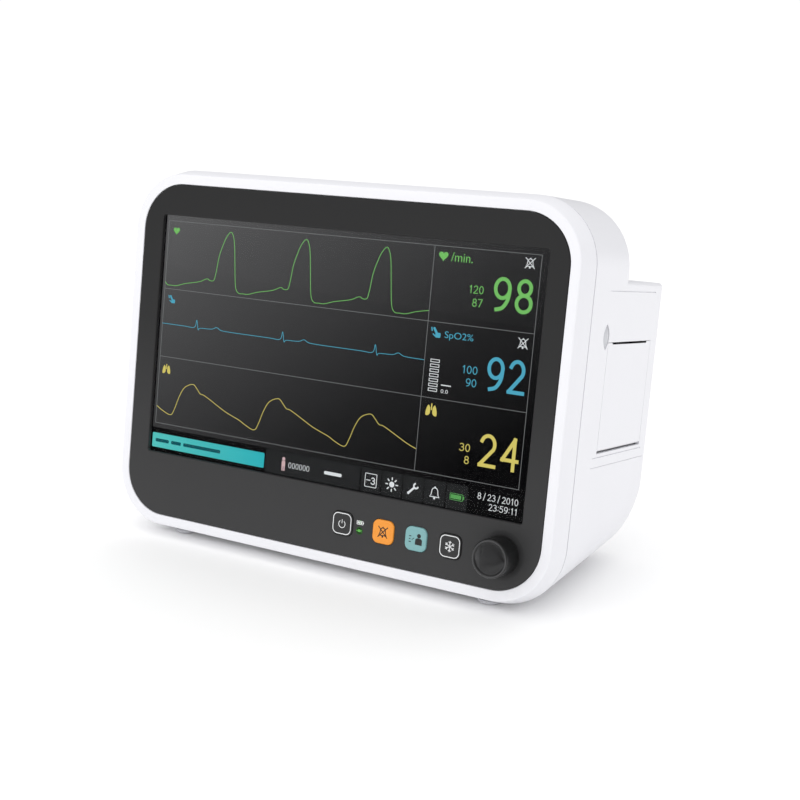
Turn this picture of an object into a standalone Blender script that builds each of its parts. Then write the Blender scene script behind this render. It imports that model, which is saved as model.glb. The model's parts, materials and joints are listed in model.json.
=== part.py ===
"""Bedside patient monitor with a side-mounted strip recorder, as separate working pieces.

Every size below is in millimetres in the monitor's own upright frame: x runs to the right across the
face, y runs back from the face and z runs up along it. The whole monitor then leans back onto its feet.
"""
import math

import bmesh
import bpy
from mathutils import Matrix, Vector

MM = 0.001
GAP = 0.3            # clearance between neighbouring pieces
LEAN = math.radians(10.09)
CORNER_STEPS = 5     # facets in a quarter turn of a large corner

# Face: charcoal panel in a white ring
PANEL_W, PANEL_H, PANEL_R = 300.0, 214.3, 29.0
PANEL_T = 2.4
RING_FLAT, RING_FLARE = 5.6, 10.0    # how far the ring's front and its rear edge stand outside the panel
RING_DEPTH = 13.6
RING_WALL = 2.8
LEDGE_OUT, LEDGE_T = 3.6, 2.2        # the ledge that the panel and the cover glass bear on
WINDOW_X = (15.0 - PANEL_W / 2, PANEL_W / 2 - 13.0)
WINDOW_Z = (40.5, PANEL_H - 19.8)
GLASS_T, GLASS_LAP = 1.3, 4.0
DISPLAY_X = (WINDOW_X[0] - 1.0, WINDOW_X[1] + 1.0)
DISPLAY_Z = (34.0, WINDOW_Z[1] + 4.5)
DISPLAY_T = 8.0

# Rear housing
SEAM = 0.8
WALL = 2.5
CASE_R = PANEL_R + RING_FLARE
SHOULDER_Y, SHOULDER_FILLET = 70.0, 8.0
STEP_Z, BACK_Y, BACK_FILLET = 180.0, 125.0, 3.5
STEP_R, HEEL_R = 2.5, 22.0
SHOULDER_LAP = 24.0     # how far the upper part reaches down inside the deeper one
GASKET_W = 1.7

# Keys and lights
KEY_X = {"power_key": 19.7, "alarm_key": 48.5, "patient_key": 70.9, "freeze_key": 93.7}
KEY_SIZE, KEY_R, KEY_Z = 14.4, 4.0, 19.8
KEY_PROUD, KEY_TRAVEL = 0.9, 1.0
LIGHT_X = 31.8
LIGHT_Z = {"mains_light": 22.3, "battery_light": 17.4}
LIGHT_R = 1.3
BOARD_Y, BOARD_T, SWITCH_H = 14.2, 1.6, 1.4

# Knob
KNOB_X, KNOB_Z, KNOB_R = PANEL_W / 2 - 24.0, 21.0, 11.25
KNOB_PROUD, KNOB_TRAVEL = 15.0, 0.8
DISH_R, DISH_DEPTH, DISH_BOSS_R = 14.0, 2.0, 12.0
SHAFT_R, SHAFT_SOCKET = 2.9, 12.4       # how far the shaft reaches into the knob

# Strip recorder in the right side
DOOR_Y, DOOR_TOP, DOOR_T = (42.7, 111.3), 144.6, 2.4
HINGE_Z, HINGE_R, HINGE_PIN_R = 83.3, 2.0, 0.8
HINGE_GAP = 0.5
PAPER_Y, PAPER_SLOT = (49.3, 104.3), 1.3
BAY_WALL, BAY_HEAD = 2.0, 2.0
ROLL_CLEAR, ROLL_REST, ROLL_R, ROLL_CORE, ROLL_W = 8.6, 4.2, 19.0, 6.4, 50.0
PLATEN_R, PLATEN_SHAFT_R, PLATEN_CLEAR = 6.0, 2.0, 0.95
GEAR_MODULE, PLATEN_TEETH, FEED_TEETH, GEAR_T = 0.6, 24, 12, 2.6
GEAR_ADDENDUM, MESH_SLACK = 0.75, 0.15
RELEASE_Y, RELEASE_Z, RELEASE_HALF = 38.6, 148.1, (4.0, 6.5)
RELEASE_TRAVEL, RELEASE_FLANGE_T, RELEASE_SPRING_L = 1.2, 1.6, 5.2

# Boards, supplies and connectors
CHASSIS_Y, CHASSIS_T = 20.0, 1.5
SCREW_INSET, SCREW_LOW_INSET, SCREW_LOW_Z = 11.0, 1.5, 45.0
SCREW_R, SCREW_HEAD_R, SCREW_HEAD_T = 1.8, 3.4, 2.2
SIDE_PANEL_Y, SIDE_PANEL_Z, SIDE_PANEL_T = (34.0, 108.0), (62.0, 170.0), 2.5
PATIENT_SOCKETS = (("ecg_socket", 54.0, 148.0, 9.0, "green"), ("spo2_socket", 88.0, 148.0, 8.0, "blue"),
                   ("temperature_socket", 54.0, 116.0, 7.0, "teal"), ("pressure_socket", 88.0, 116.0, 7.0, "red"))
CUFF_PORT = ("cuff_port", 71.0, 84.0, 7.0, "aluminium")
SOCKET_PROUD, SOCKET_WALL, SOCKET_L, CUFF_BORE = 0.4, 1.6, 13.0, 2.4
BATTERY_W, BATTERY_H, BATTERY_L = 150.0, 24.0, 68.0
BATTERY_Z = 36.5
PAD_SIZE, PAD_Z, PAD_PROUD, INSERT_PITCH = 96.0, 118.0, 1.2, 75.0
INSERT_R, INSERT_BORE, INSERT_L = 3.4, 1.9, 8.0
INLET_X, INLET_Z, INLET_W, INLET_H = -122.0, 60.0, 27.0, 20.0
SOCKETS = {"network_socket": (-122.0, 92.0, 16.5, 14.0), "data_socket": (-122.0, 114.0, 15.5, 9.6)}
STUD_AT, STUD_R = (-96.0, 60.0), 3.0
VENTS, VENT_X, VENT_PITCH, VENT_W, VENT_Z = 9, 66.0, 8.0, 3.2, (112.0, 160.0)
FOOT_X, FOOT_NEAR, FOOT_FAR = 113.0, 18.0, 91.0
FOOT_R, FOOT_H = 8.0, 2.4

# the electronics: each board's range in x and z, and its large components as (x, z, width, height, depth)
MAIN_BOARD = (-98, 96), (62, 196)
MAIN_CHIPS = ((-60, 160, 24, 24, 5), (0, 165, 34, 20, 5), (50, 110, 18, 40, 5), (-50, 90, 50, 12, 5))
HEAT_SINK, FINS, FIN_PITCH, FIN_T, FIN_H = ((-63, -33), (157, 187)), 6, 5.4, 1.6, 11.0
SUPPLY_Y, SUPPLY_BOARD = 62.0, ((-88, 8), (72, 172))
SUPPLY_PARTS = ((-80, 80, 34, 30, 30), (-38, 84, 36, 40, 24), (-76, 124, 22, 36, 26))
MEASURE_X, MEASURE_BOARD, MEASURE_CHIP = 21.0, ((36, 106), (66, 168)), ((60, 84), (100, 130), 5.0)
CABLE_OPENING = (-60, 60), (90, 150)
PUMP_AT, PUMP_Y, PUMP_R = (-112, 34), (40, 72, 84), (12, 10)
VALVE_X, VALVE_Y, VALVE_Z = (-96, -82), (40, 66), (22, 34)
SPEAKER_AT, SPEAKER_R = (-50, 42), (20, 11)

COLOURS = {
    "white": ((0.86, 0.87, 0.89), 0.38, 0.0), "charcoal": ((0.055, 0.056, 0.058), 0.45, 0.0),
    "rubber": ((0.03, 0.03, 0.032), 0.75, 0.0), "glass": ((0.02, 0.021, 0.023), 0.08, 0.0),
    "steel": ((0.62, 0.63, 0.65), 0.32, 1.0), "board": ((0.03, 0.16, 0.07), 0.5, 0.0),
    "black": ((0.02, 0.02, 0.022), 0.4, 0.0), "orange": ((0.9, 0.42, 0.07), 0.4, 0.0),
    "teal": ((0.22, 0.42, 0.42), 0.4, 0.0), "brass": ((0.72, 0.52, 0.22), 0.35, 1.0),
    "aluminium": ((0.75, 0.76, 0.78), 0.35, 1.0), "paper": ((0.93, 0.93, 0.9), 0.8, 0.0),
    "grey": ((0.5, 0.51, 0.53), 0.42, 0.0), "lamp": ((0.3, 0.8, 0.35), 0.3, 0.0),
    "blue": ((0.1, 0.25, 0.6), 0.4, 0.0), "red": ((0.6, 0.06, 0.05), 0.4, 0.0),
    "green": ((0.1, 0.45, 0.2), 0.4, 0.0), "pale": ((0.6, 0.6, 0.63), 0.75, 0.0),
}
pieces = []


# ---- places: each turns local (u, v) and a distance t along an axis into monitor coordinates ----
def along_x(y, z):
    return lambda u, v, t: (t, y + u, z + v)


def along_y(x, z):
    return lambda u, v, t: (x + u, t, z + v)


def along_z(x, y):
    return lambda u, v, t: (x + u, y + v, t)


def lean_point(x, level_y, level_z):
    """A point given level with the floor, in the leaning monitor's own coordinates."""
    sine, cosine = math.sin(LEAN), math.cos(LEAN)
    return (x, level_y * cosine - level_z * sine, level_y * sine + level_z * cosine)


def upright(x, level_y):
    return lambda u, v, t: lean_point(x + u, level_y + v, t)


# ---- outlines, as lists of (u, v) ----
def circle(radius, steps=16):
    angles = [2 * math.pi * i / steps for i in range(steps)]
    return [(radius * math.cos(a), radius * math.sin(a)) for a in angles]


def rounded(u_range, v_range, radii, steps=CORNER_STEPS):
    """A rectangle with round corners, whose radii run from the lower left one anticlockwise."""
    (u0, u1), (v0, v1) = u_range, v_range
    if not isinstance(radii, tuple):
        radii = (radii,) * 4
    signs = ((1, 1), (-1, 1), (-1, -1), (1, -1))
    corners = ((u0, v0), (u1, v0), (u1, v1), (u0, v1))
    points = []
    for turn, (radius, sign, corner) in enumerate(zip(radii, signs, corners)):
        centre = (corner[0] + sign[0] * radius, corner[1] + sign[1] * radius)
        for step in range(steps + 1):
            angle = math.pi + (turn + step / steps) * math.pi / 2
            points.append((centre[0] + radius * math.cos(angle), centre[1] + radius * math.sin(angle)))
    return points


def face_outline(outset):
    """The face panel's outline, grown by outset."""
    half = PANEL_W / 2 + outset
    return rounded((-half, half), (-outset, PANEL_H + outset), PANEL_R + outset)


def lens(half_width, half_height, steps=6):
    """A pointed oval, taller than it is wide."""
    rise = [half_height * (2 * i / steps - 1) for i in range(steps)]
    right = [(half_width * (1 - (z / half_height) ** 2), z) for z in rise]
    return right + [(-u, -v) for u, v in right]


def gear(teeth, phase):
    """Straight-sided teeth of GEAR_MODULE, with backlash."""
    pitch = 2 * math.pi / teeth
    pitch_r = GEAR_MODULE * teeth / 2
    root, tip = pitch_r - GEAR_MODULE, pitch_r + GEAR_ADDENDUM * GEAR_MODULE
    points = []
    for tooth in range(teeth):
        for share, radius in ((-0.29, root), (-0.12, tip), (0.12, tip), (0.29, root)):
            angle = (tooth + phase + share) * pitch
            points.append((radius * math.cos(angle), radius * math.sin(angle)))
    return points


# ---- solids ----
def loft(rings, ends=True):
    """Skin over rings of points with equal counts: capped at both ends, or closed into a loop."""
    mesh = bmesh.new()
    rows = [[mesh.verts.new(Vector(point) * MM) for point in ring] for ring in rings]
    pairs = list(zip(rows, rows[1:])) + ([] if ends else [(rows[-1], rows[0])])
    for first, second in pairs:
        for i in range(len(first)):
            j = (i + 1) % len(first)
            mesh.faces.new((first[i], first[j], second[j], second[i]))
    if ends:
        mesh.faces.new(rows[0])
        mesh.faces.new(rows[-1])
    bmesh.ops.recalc_face_normals(mesh, faces=mesh.faces)
    data = bpy.data.meshes.new("shape")
    mesh.to_mesh(data)
    mesh.free()
    thing = bpy.data.objects.new("shape", data)
    bpy.context.collection.objects.link(thing)
    return thing


def prism(outline, place, low, high):
    return loft([[place(u, v, t) for u, v in outline] for t in (low, high)])


def block(x_range, y_range, z_range):
    outline = [(x_range[i], y_range[j]) for i, j in ((0, 0), (1, 0), (1, 1), (0, 1))]
    return prism(outline, along_z(0, 0), *z_range)


def turned(profile, place, steps=20, hollow=False):
    """A turned solid from (radius, t) points along its axis; a hollow one closes its profile into a loop."""
    return loft([[place(u, v, t) for u, v in circle(r, steps)] for r, t in profile], not hollow)


def pipe(outer, bore, place, low, high, steps=20):
    return turned([(outer, low), (outer, high), (bore, high), (bore, low)], place, steps, hollow=True)


def combine(base, tools, operation):
    for tool in tools:
        change = base.modifiers.new("boolean", "BOOLEAN")
        change.operation, change.object, change.solver = operation, tool, "EXACT"
        bpy.context.view_layer.update()
        shaped = base.evaluated_get(bpy.context.evaluated_depsgraph_get())
        result = bpy.data.meshes.new_from_object(shaped)
        base.modifiers.clear()
        base.data = result
        bpy.data.objects.remove(tool)
    return base


def join(base, *tools):
    return combine(base, tools, "UNION")


def cut(base, *tools):
    return combine(base, tools, "DIFFERENCE")


def material(name):
    made = bpy.data.materials.get(name)
    if made is None:
        made = bpy.data.materials.new(name)
        made.use_nodes = True
        colour, roughness, metallic = COLOURS[name]
        shader = made.node_tree.nodes["Principled BSDF"]
        shader.inputs["Base Color"].default_value = (*colour, 1)
        shader.inputs["Roughness"].default_value = roughness
        shader.inputs["Metallic"].default_value = metallic
    return made


def keep(name, thing, colour, pivot=(0, 0, 0)):
    """Name a finished piece, and put its origin at its pivot."""
    thing.name = thing.data.name = name
    thing.data.materials.clear()
    thing.data.materials.append(material(colour))
    thing.data.transform(Matrix.Translation(-Vector(pivot) * MM))
    thing.location = Vector(pivot) * MM
    thing.data.shade_smooth()
    thing.data.set_sharp_from_angle(angle=math.radians(35))
    pieces.append(thing)
    return thing


# ---- values worked out from the sizes above ----
CASE_X = PANEL_W / 2 + RING_FLARE
CASE_TOP = PANEL_H + RING_FLARE
CASE_Y = RING_DEPTH + SEAM
GLASS_Y = PANEL_T + GAP
DISPLAY_Y = GLASS_Y + GLASS_T + GAP
LEDGE_BACK = GLASS_Y + LEDGE_T
HINGE_X = CASE_X - HINGE_R
LIP_Z = HINGE_Z - HINGE_R - HINGE_GAP
OPENING_Y = (DOOR_Y[0] - GAP, DOOR_Y[1] + GAP)
OPENING_TOP = DOOR_TOP + GAP
BAY_X = CASE_X - WALL - GAP
BAY_CEILING = OPENING_TOP + BAY_HEAD
FRONT_GEAR_Y = OPENING_Y[0] + 0.8
ARM_Y = (FRONT_GEAR_Y + GEAR_T + GAP, PAPER_Y[1] + 0.7)
ARM_T = 2.2
GEAR_TIP = GEAR_MODULE * (PLATEN_TEETH / 2 + GEAR_ADDENDUM)
PLATEN_X = CASE_X - DOOR_T - GEAR_TIP - PLATEN_CLEAR
PLATEN_Z = DOOR_TOP - GEAR_TIP - PLATEN_CLEAR
FEED_X = PLATEN_X - GEAR_MODULE * (PLATEN_TEETH + FEED_TEETH) / 2 - MESH_SLACK
ROLL_X = CASE_X - DOOR_T - ROLL_CLEAR - ROLL_R
ROLL_Z = LIP_Z + ROLL_REST + ROLL_R
BAY_INNER_X = ROLL_X - ROLL_R - 2.8
ENCODER_FRONT = PANEL_T + DISH_DEPTH + GAP + 0.3
BATTERY_DOOR_Z = (BATTERY_Z - 2.5, BATTERY_Z + BATTERY_H + 2.0)
BATTERY_HINGE = (BACK_Y - HINGE_R, BATTERY_DOOR_Z[0])


def underside(y, inset=0.0):
    """Height of the sloping underside, level with the floor, at a distance back from the face."""
    return -RING_FLARE + (y - CASE_Y) * math.tan(LEAN) + inset / math.cos(LEAN)


# ---- shells ----
def lower_box(inset, front):
    """The deep lower part: flat back, rounded heel where the underside meets it."""
    back, heel, fillet = BACK_Y - inset, HEEL_R - inset, BACK_FILLET - inset
    heel_y = BACK_Y - HEEL_R
    heel_z = underside(heel_y) + HEEL_R / math.cos(LEAN)
    depths = [front, heel_y + heel * math.sin(LEAN), heel_y + heel / 2]
    depths += [back - fillet + fillet * math.sin(math.radians(a)) for a in (0, 30, 60, 90)]
    rings = []
    for y in depths:
        over = max(0.0, y - back + fillet)
        shrink = inset + fillet - math.sqrt(max(0.0, fillet ** 2 - over ** 2))
        if y <= depths[1]:
            low = underside(y, inset)
        else:
            low = heel_z - math.sqrt(max(0.0, heel ** 2 - (y - heel_y) ** 2))
        half, bottom_r, top_r = CASE_X - shrink, CASE_R - shrink, max(STEP_R - inset, 1.0)
        outline = rounded((-half, half), (low, STEP_Z - shrink), (bottom_r, bottom_r, top_r, top_r))
        rings.append([(x, y, z) for x, z in outline])
    return loft(rings)


def shoulder(inset, front):
    """The shallower upper part, round-cornered like the face."""
    back, fillet = SHOULDER_Y - inset, SHOULDER_FILLET - inset
    floor_z = STEP_Z - SHOULDER_LAP
    rings = []
    for y in [front] + [back - fillet + fillet * math.sin(math.radians(a)) for a in (0, 30, 60, 90)]:
        over = max(0.0, y - back + fillet)
        shrink = inset + fillet - math.sqrt(max(0.0, fillet ** 2 - over ** 2))
        half, top_r = CASE_X - shrink, CASE_R - shrink
        outline = rounded((-half, half), (floor_z, CASE_TOP - shrink), (2, 2, top_r, top_r))
        rings.append([(x, y, z) for x, z in outline])
    return loft(rings)


def screw_places():
    """Each housing screw's (x, z) and the depth of the back wall behind it."""
    for sign in (-1, 1):
        yield sign * (PANEL_W / 2 - SCREW_INSET), PANEL_H - SCREW_INSET, SHOULDER_Y
        yield sign * (PANEL_W / 2 - SCREW_LOW_INSET), SCREW_LOW_Z, BACK_Y


def side_openings():
    """Cutters through the right wall for the recorder door, its pin and its release button."""
    through = (CASE_X - 2 * WALL, CASE_X + WALL)
    yield block(through, OPENING_Y, (LIP_Z, OPENING_TOP))
    yield prism(circle(HINGE_PIN_R + GAP, 12), along_y(HINGE_X, HINGE_Z),
                OPENING_Y[0] - 2, OPENING_Y[1] + 2)
    yield prism(lens(RELEASE_HALF[0] + 0.35, RELEASE_HALF[1] + 1.0), along_x(RELEASE_Y, RELEASE_Z), *through)


def back_openings():
    """Cutters through the back wall for the battery door, its pin, the inlet, sockets, stud and vents."""
    through = (BACK_Y - 2 * WALL, BACK_Y + WALL)
    half = BATTERY_W / 2 + 4
    y, z = BATTERY_HINGE
    yield block((-half, half), through, (z - HINGE_R - HINGE_GAP, BATTERY_DOOR_Z[1] + GAP))
    yield prism(circle(HINGE_PIN_R + GAP, 12), along_x(y, z), -half - 2, half + 2)
    half_w, half_h = INLET_W / 2 + GAP, INLET_H / 2 + GAP
    yield block((INLET_X - half_w, INLET_X + half_w), through, (INLET_Z - half_h, INLET_Z + half_h))
    for name, (x, z, width, height) in SOCKETS.items():
        across = (x - width / 2 - GAP, x + width / 2 + GAP)
        yield block(across, through, (z - height / 2 - GAP, z + height / 2 + GAP))
    yield prism(circle(STUD_R + GAP), along_y(*STUD_AT), *through)
    for slot in range(VENTS):
        x = VENT_X + slot * VENT_PITCH
        yield block((x, x + VENT_W), through, VENT_Z)


def rear_housing():
    shell = join(lower_box(0, CASE_Y), shoulder(0, CASE_Y))
    hollow = join(lower_box(WALL, CASE_Y - 5), shoulder(WALL, CASE_Y - 5))
    cut(shell, hollow)
    rebate = face_outline(RING_FLARE - 1.2)
    cut(shell, prism(rebate, along_y(0, 0), CASE_Y - 4, CASE_Y + 1.2))
    half, post_r = PAD_SIZE / 2, INSERT_R + 2.2
    pad = rounded((-half, half), (PAD_Z - half, PAD_Z + half), 6.0, 3)
    join(shell, prism(pad, along_y(0, 0), BACK_Y - 1, BACK_Y + PAD_PROUD))
    for x, z in insert_places():
        join(shell, prism(circle(post_r, 12), along_y(x, z), BACK_Y - INSERT_L - 1.5, BACK_Y - 1))
        cut(shell, prism(circle(INSERT_R + GAP, 12), along_y(x, z), BACK_Y - INSERT_L, BACK_Y + 5))
    for x, z, back in screw_places():
        join(shell, prism(circle(4.4, 12), along_y(x, z), CHASSIS_Y + CHASSIS_T + GAP, back - 1))
        cut(shell, prism(circle(SCREW_R + 0.4, 12), along_y(x, z), CHASSIS_Y, back + 5))
        cut(shell, prism(circle(SCREW_HEAD_R + 0.4, 12), along_y(x, z), back - SCREW_HEAD_T - 0.6, back + 5))
    x0 = -CASE_X - WALL
    panel_y = (SIDE_PANEL_Y[0] - GAP, SIDE_PANEL_Y[1] + GAP)
    panel_z = (SIDE_PANEL_Z[0] - GAP, SIDE_PANEL_Z[1] + GAP)
    cut(shell, block((x0, x0 + 4 * WALL), panel_y, panel_z), *side_openings(), *back_openings())
    for x, near in foot_places():
        cut(shell, prism(circle(2.9, 12), upright(x, near), -40, 25))
    keep("rear_housing", shell, "white")


def front_frame():
    """The white ring: flat front, flared side band, and the ledge behind the panel."""
    inner = RING_FLARE - RING_WALL
    section = [(GAP, 0.5), (GAP + 0.5, 0.0), (RING_FLAT, 0.0), (RING_FLAT + 1.0, 0.5),
               (RING_FLARE, RING_DEPTH), (inner, RING_DEPTH), (inner - RING_WALL, LEDGE_BACK + 0.3),
               (-LEDGE_OUT, LEDGE_BACK), (-LEDGE_OUT, GLASS_Y), (GAP, GLASS_Y)]
    ring = loft([[(x, y, z) for x, z in face_outline(outset)] for outset, y in section], ends=False)
    for x, z, _ in screw_places():
        join(ring, prism(circle(3.6, 12), along_y(x, z), LEDGE_BACK - 0.6, CHASSIS_Y - GAP))
        cut(ring, prism(circle(SCREW_R + GAP, 12), along_y(x, z), LEDGE_BACK + 1.5, CHASSIS_Y + 5))
    keep("front_frame", ring, "white")


def frame_seal():
    section = [(RING_FLARE - 1.5, RING_DEPTH + GAP), (RING_FLARE - 1.5, CASE_Y + 0.9),
               (RING_FLARE - 1.5 - GASKET_W, CASE_Y + 0.9), (RING_FLARE - 1.5 - GASKET_W, RING_DEPTH + GAP)]
    ring = loft([[(x, y, z) for x, z in face_outline(outset)] for outset, y in section], ends=False)
    keep("frame_seal", ring, "rubber")


def front_bezel():
    """The charcoal panel, its chamfered window, key openings and the dish around the knob."""
    panel = loft([[(x, y, z) for x, z in face_outline(outset)]
                  for outset, y in ((-0.4, 0.0), (0.0, 0.4), (0.0, PANEL_T))])
    join(panel, prism(circle(DISH_BOSS_R, 24), along_y(KNOB_X, KNOB_Z), PANEL_T - 1, PANEL_T + DISH_DEPTH))
    window = [rounded((WINDOW_X[0] - o, WINDOW_X[1] + o), (WINDOW_Z[0] - o, WINDOW_Z[1] + o), 1.5 + o, 2)
              for o in (1.2, 0.0, 0.0)]
    cut(panel, loft([[(x, y, z) for x, z in outline] for outline, y in zip(window, (-0.5, 0.7, PANEL_T + 1))]))
    half = KEY_SIZE / 2 + GAP
    for x in KEY_X.values():
        hole = rounded((x - half, x + half), (KEY_Z - half, KEY_Z + half), KEY_R + GAP, 3)
        cut(panel, prism(hole, along_y(0, 0), -1, PANEL_T + 1))
    for z in LIGHT_Z.values():
        cut(panel, prism(circle(LIGHT_R + GAP, 10), along_y(LIGHT_X, z), -1, PANEL_T + 1))
    steps = [(DISH_R * math.sqrt(1 - i / 4), -0.01 + DISH_DEPTH * i / 4) for i in range(4)]
    dish = [(DISH_R + 0.01, -1.0)] + steps + [(2.0, DISH_DEPTH)]
    cut(panel, turned(dish, along_y(KNOB_X, KNOB_Z), 24))
    cut(panel, prism(circle(SHAFT_R + 0.5), along_y(KNOB_X, KNOB_Z), -1, PANEL_T + DISH_DEPTH + 1))
    keep("front_bezel", panel, "charcoal")


def screen():
    across = (WINDOW_X[0] - GLASS_LAP, WINDOW_X[1] + GLASS_LAP)
    up = (WINDOW_Z[0] - GLASS_LAP, WINDOW_Z[1] + GLASS_LAP)
    glass = prism(rounded(across, up, 2.0, 2), along_y(0, 0), GLASS_Y, GLASS_Y + GLASS_T)
    keep("screen_glass", glass, "glass")
    keep("lcd_panel", block(DISPLAY_X, (DISPLAY_Y, DISPLAY_Y + DISPLAY_T), DISPLAY_Z), "black")


# ---- controls ----
def keys():
    cap_back = GLASS_Y + 1.0
    stem_end = BOARD_Y - SWITCH_H - KEY_TRAVEL - 0.4
    for name, x in KEY_X.items():
        shapes = []
        for extra, low, high in ((0.0, -KEY_PROUD, GLASS_Y + 0.1), (1.1, GLASS_Y, cap_back)):
            half = KEY_SIZE / 2 + extra
            outline = rounded((-half, half), (-half, half), KEY_R, 3)
            shapes.append(prism(outline, along_y(x, KEY_Z), low, high))
        shapes.append(prism(circle(2.0, 10), along_y(x, KEY_Z), cap_back - 0.2, stem_end))
        colour = {"alarm_key": "orange", "patient_key": "teal"}.get(name, "charcoal")
        keep(name, join(*shapes), colour, (x, 0, KEY_Z))
    for name, z in LIGHT_Z.items():
        pin = turned([(LIGHT_R, 0.0), (LIGHT_R, GLASS_Y), (LIGHT_R + 0.8, GLASS_Y), (LIGHT_R + 0.8, 4.4)],
                     along_y(LIGHT_X, z), 10)
        keep(name, pin, "lamp")


def key_board():
    board = block((min(KEY_X.values()) - 12, KNOB_X + 12), (BOARD_Y, BOARD_Y + BOARD_T), (6.0, 31.0))
    for x in KEY_X.values():
        join(board, block((x - 3, x + 3), (BOARD_Y - SWITCH_H, BOARD_Y + 0.5), (KEY_Z - 3, KEY_Z + 3)))
    keep("key_board", board, "board")


def encoder():
    place, axis = along_y(KNOB_X, KNOB_Z), (KNOB_X, 0, KNOB_Z)
    case = block((KNOB_X - 7, KNOB_X + 7), (ENCODER_FRONT, BOARD_Y - GAP), (KNOB_Z - 7, KNOB_Z + 7))
    cut(case, prism(circle(6.2, 20), place, ENCODER_FRONT + 1.5, BOARD_Y + 1),
        prism(circle(SHAFT_R + 0.4), place, 0, BOARD_Y))
    keep("encoder_body", case, "steel")
    rotor_y = ENCODER_FRONT + 1.9
    keep("encoder_rotor", pipe(5.7, SHAFT_R + GAP, place, rotor_y, rotor_y + 3.2), "black", axis)
    end = BOARD_Y - KNOB_TRAVEL - 0.5
    keep("encoder_shaft", turned([(SHAFT_R, 0.4 - SHAFT_SOCKET), (SHAFT_R, end)], place), "steel", axis)
    back = DISH_DEPTH * (1 - (KNOB_R / DISH_R) ** 2) - KNOB_TRAVEL - GAP
    skirt_r = KNOB_R - 2.0
    knob = turned([(KNOB_R - 1.5, -KNOB_PROUD), (KNOB_R, -KNOB_PROUD + 1.5), (KNOB_R, back), (skirt_r, back),
                   (skirt_r, back - 0.8)], place, 32)
    socket_r, socket_end = SHAFT_R + 0.2, -SHAFT_SOCKET
    cut(knob, turned([(socket_r, socket_end), (socket_r, 1.0)], place))
    keep("encoder_knob", knob, "charcoal", axis)


# ---- strip recorder ----
def recorder_frame():
    low, high = LIP_Z - BAY_WALL, BAY_CEILING + BAY_WALL
    front, back = OPENING_Y[0] - BAY_WALL, OPENING_Y[1] + BAY_WALL
    frame = block((BAY_INNER_X - BAY_WALL, BAY_X), (front, back), (low, high))
    cut(frame, block((BAY_INNER_X, BAY_X + 1), OPENING_Y, (LIP_Z, BAY_CEILING)))
    release_low = RELEASE_Z - RELEASE_HALF[1] - 2.5
    release_x = BAY_X - RELEASE_FLANGE_T - RELEASE_TRAVEL - RELEASE_SPRING_L
    cut(frame, block((release_x, BAY_X + 1), (front - 1, OPENING_Y[0] + 3.5), (release_low, high + 1)))
    pin = prism(circle(HINGE_PIN_R + GAP, 12), along_y(HINGE_X, HINGE_Z), OPENING_Y[0] - 2, OPENING_Y[1] + 2)
    cut(frame, pin)
    cut(frame, prism(circle(2.0, 12), along_y(FEED_X, PLATEN_Z), front - 1, front + BAY_WALL + 1))
    keep("recorder_frame", frame, "grey")


def recorder_door():
    """A flap whose lower edge is a barrel round the hinge pin, with two arms that carry the platen."""
    door = block((CASE_X - DOOR_T, CASE_X), DOOR_Y, (HINGE_Z, DOOR_TOP))
    hinge = along_y(HINGE_X, HINGE_Z)
    join(door, prism(circle(HINGE_R, 16), hinge, *DOOR_Y))
    cut(door, prism(circle(HINGE_PIN_R + GAP, 12), hinge, DOOR_Y[0] - 1, DOOR_Y[1] + 1))
    for arm_y in ARM_Y:
        arm = [(PLATEN_X - 4, PLATEN_Z - 6), (CASE_X - 1, PLATEN_Z - 9), (CASE_X - 1, PLATEN_Z + 6),
               (PLATEN_X - 4, PLATEN_Z + 5)]
        join(door, prism(arm, along_y(0, 0), arm_y, arm_y + ARM_T))
        cut(door, prism(circle(PLATEN_SHAFT_R + GAP, 12), along_y(PLATEN_X, PLATEN_Z), arm_y - 0.5, arm_y + 3))
    cut(door, block((CASE_X - 2 * DOOR_T, CASE_X + 1), PAPER_Y, (DOOR_TOP - PAPER_SLOT + GAP, DOOR_TOP + 1)))
    pivot = (HINGE_X, 0, HINGE_Z)
    keep("recorder_door", door, "white", pivot)
    pin = prism(circle(HINGE_PIN_R, 12), hinge, OPENING_Y[0] - 1.6, OPENING_Y[1] + 1.6)
    keep("recorder_door_pin", pin, "steel")


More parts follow.
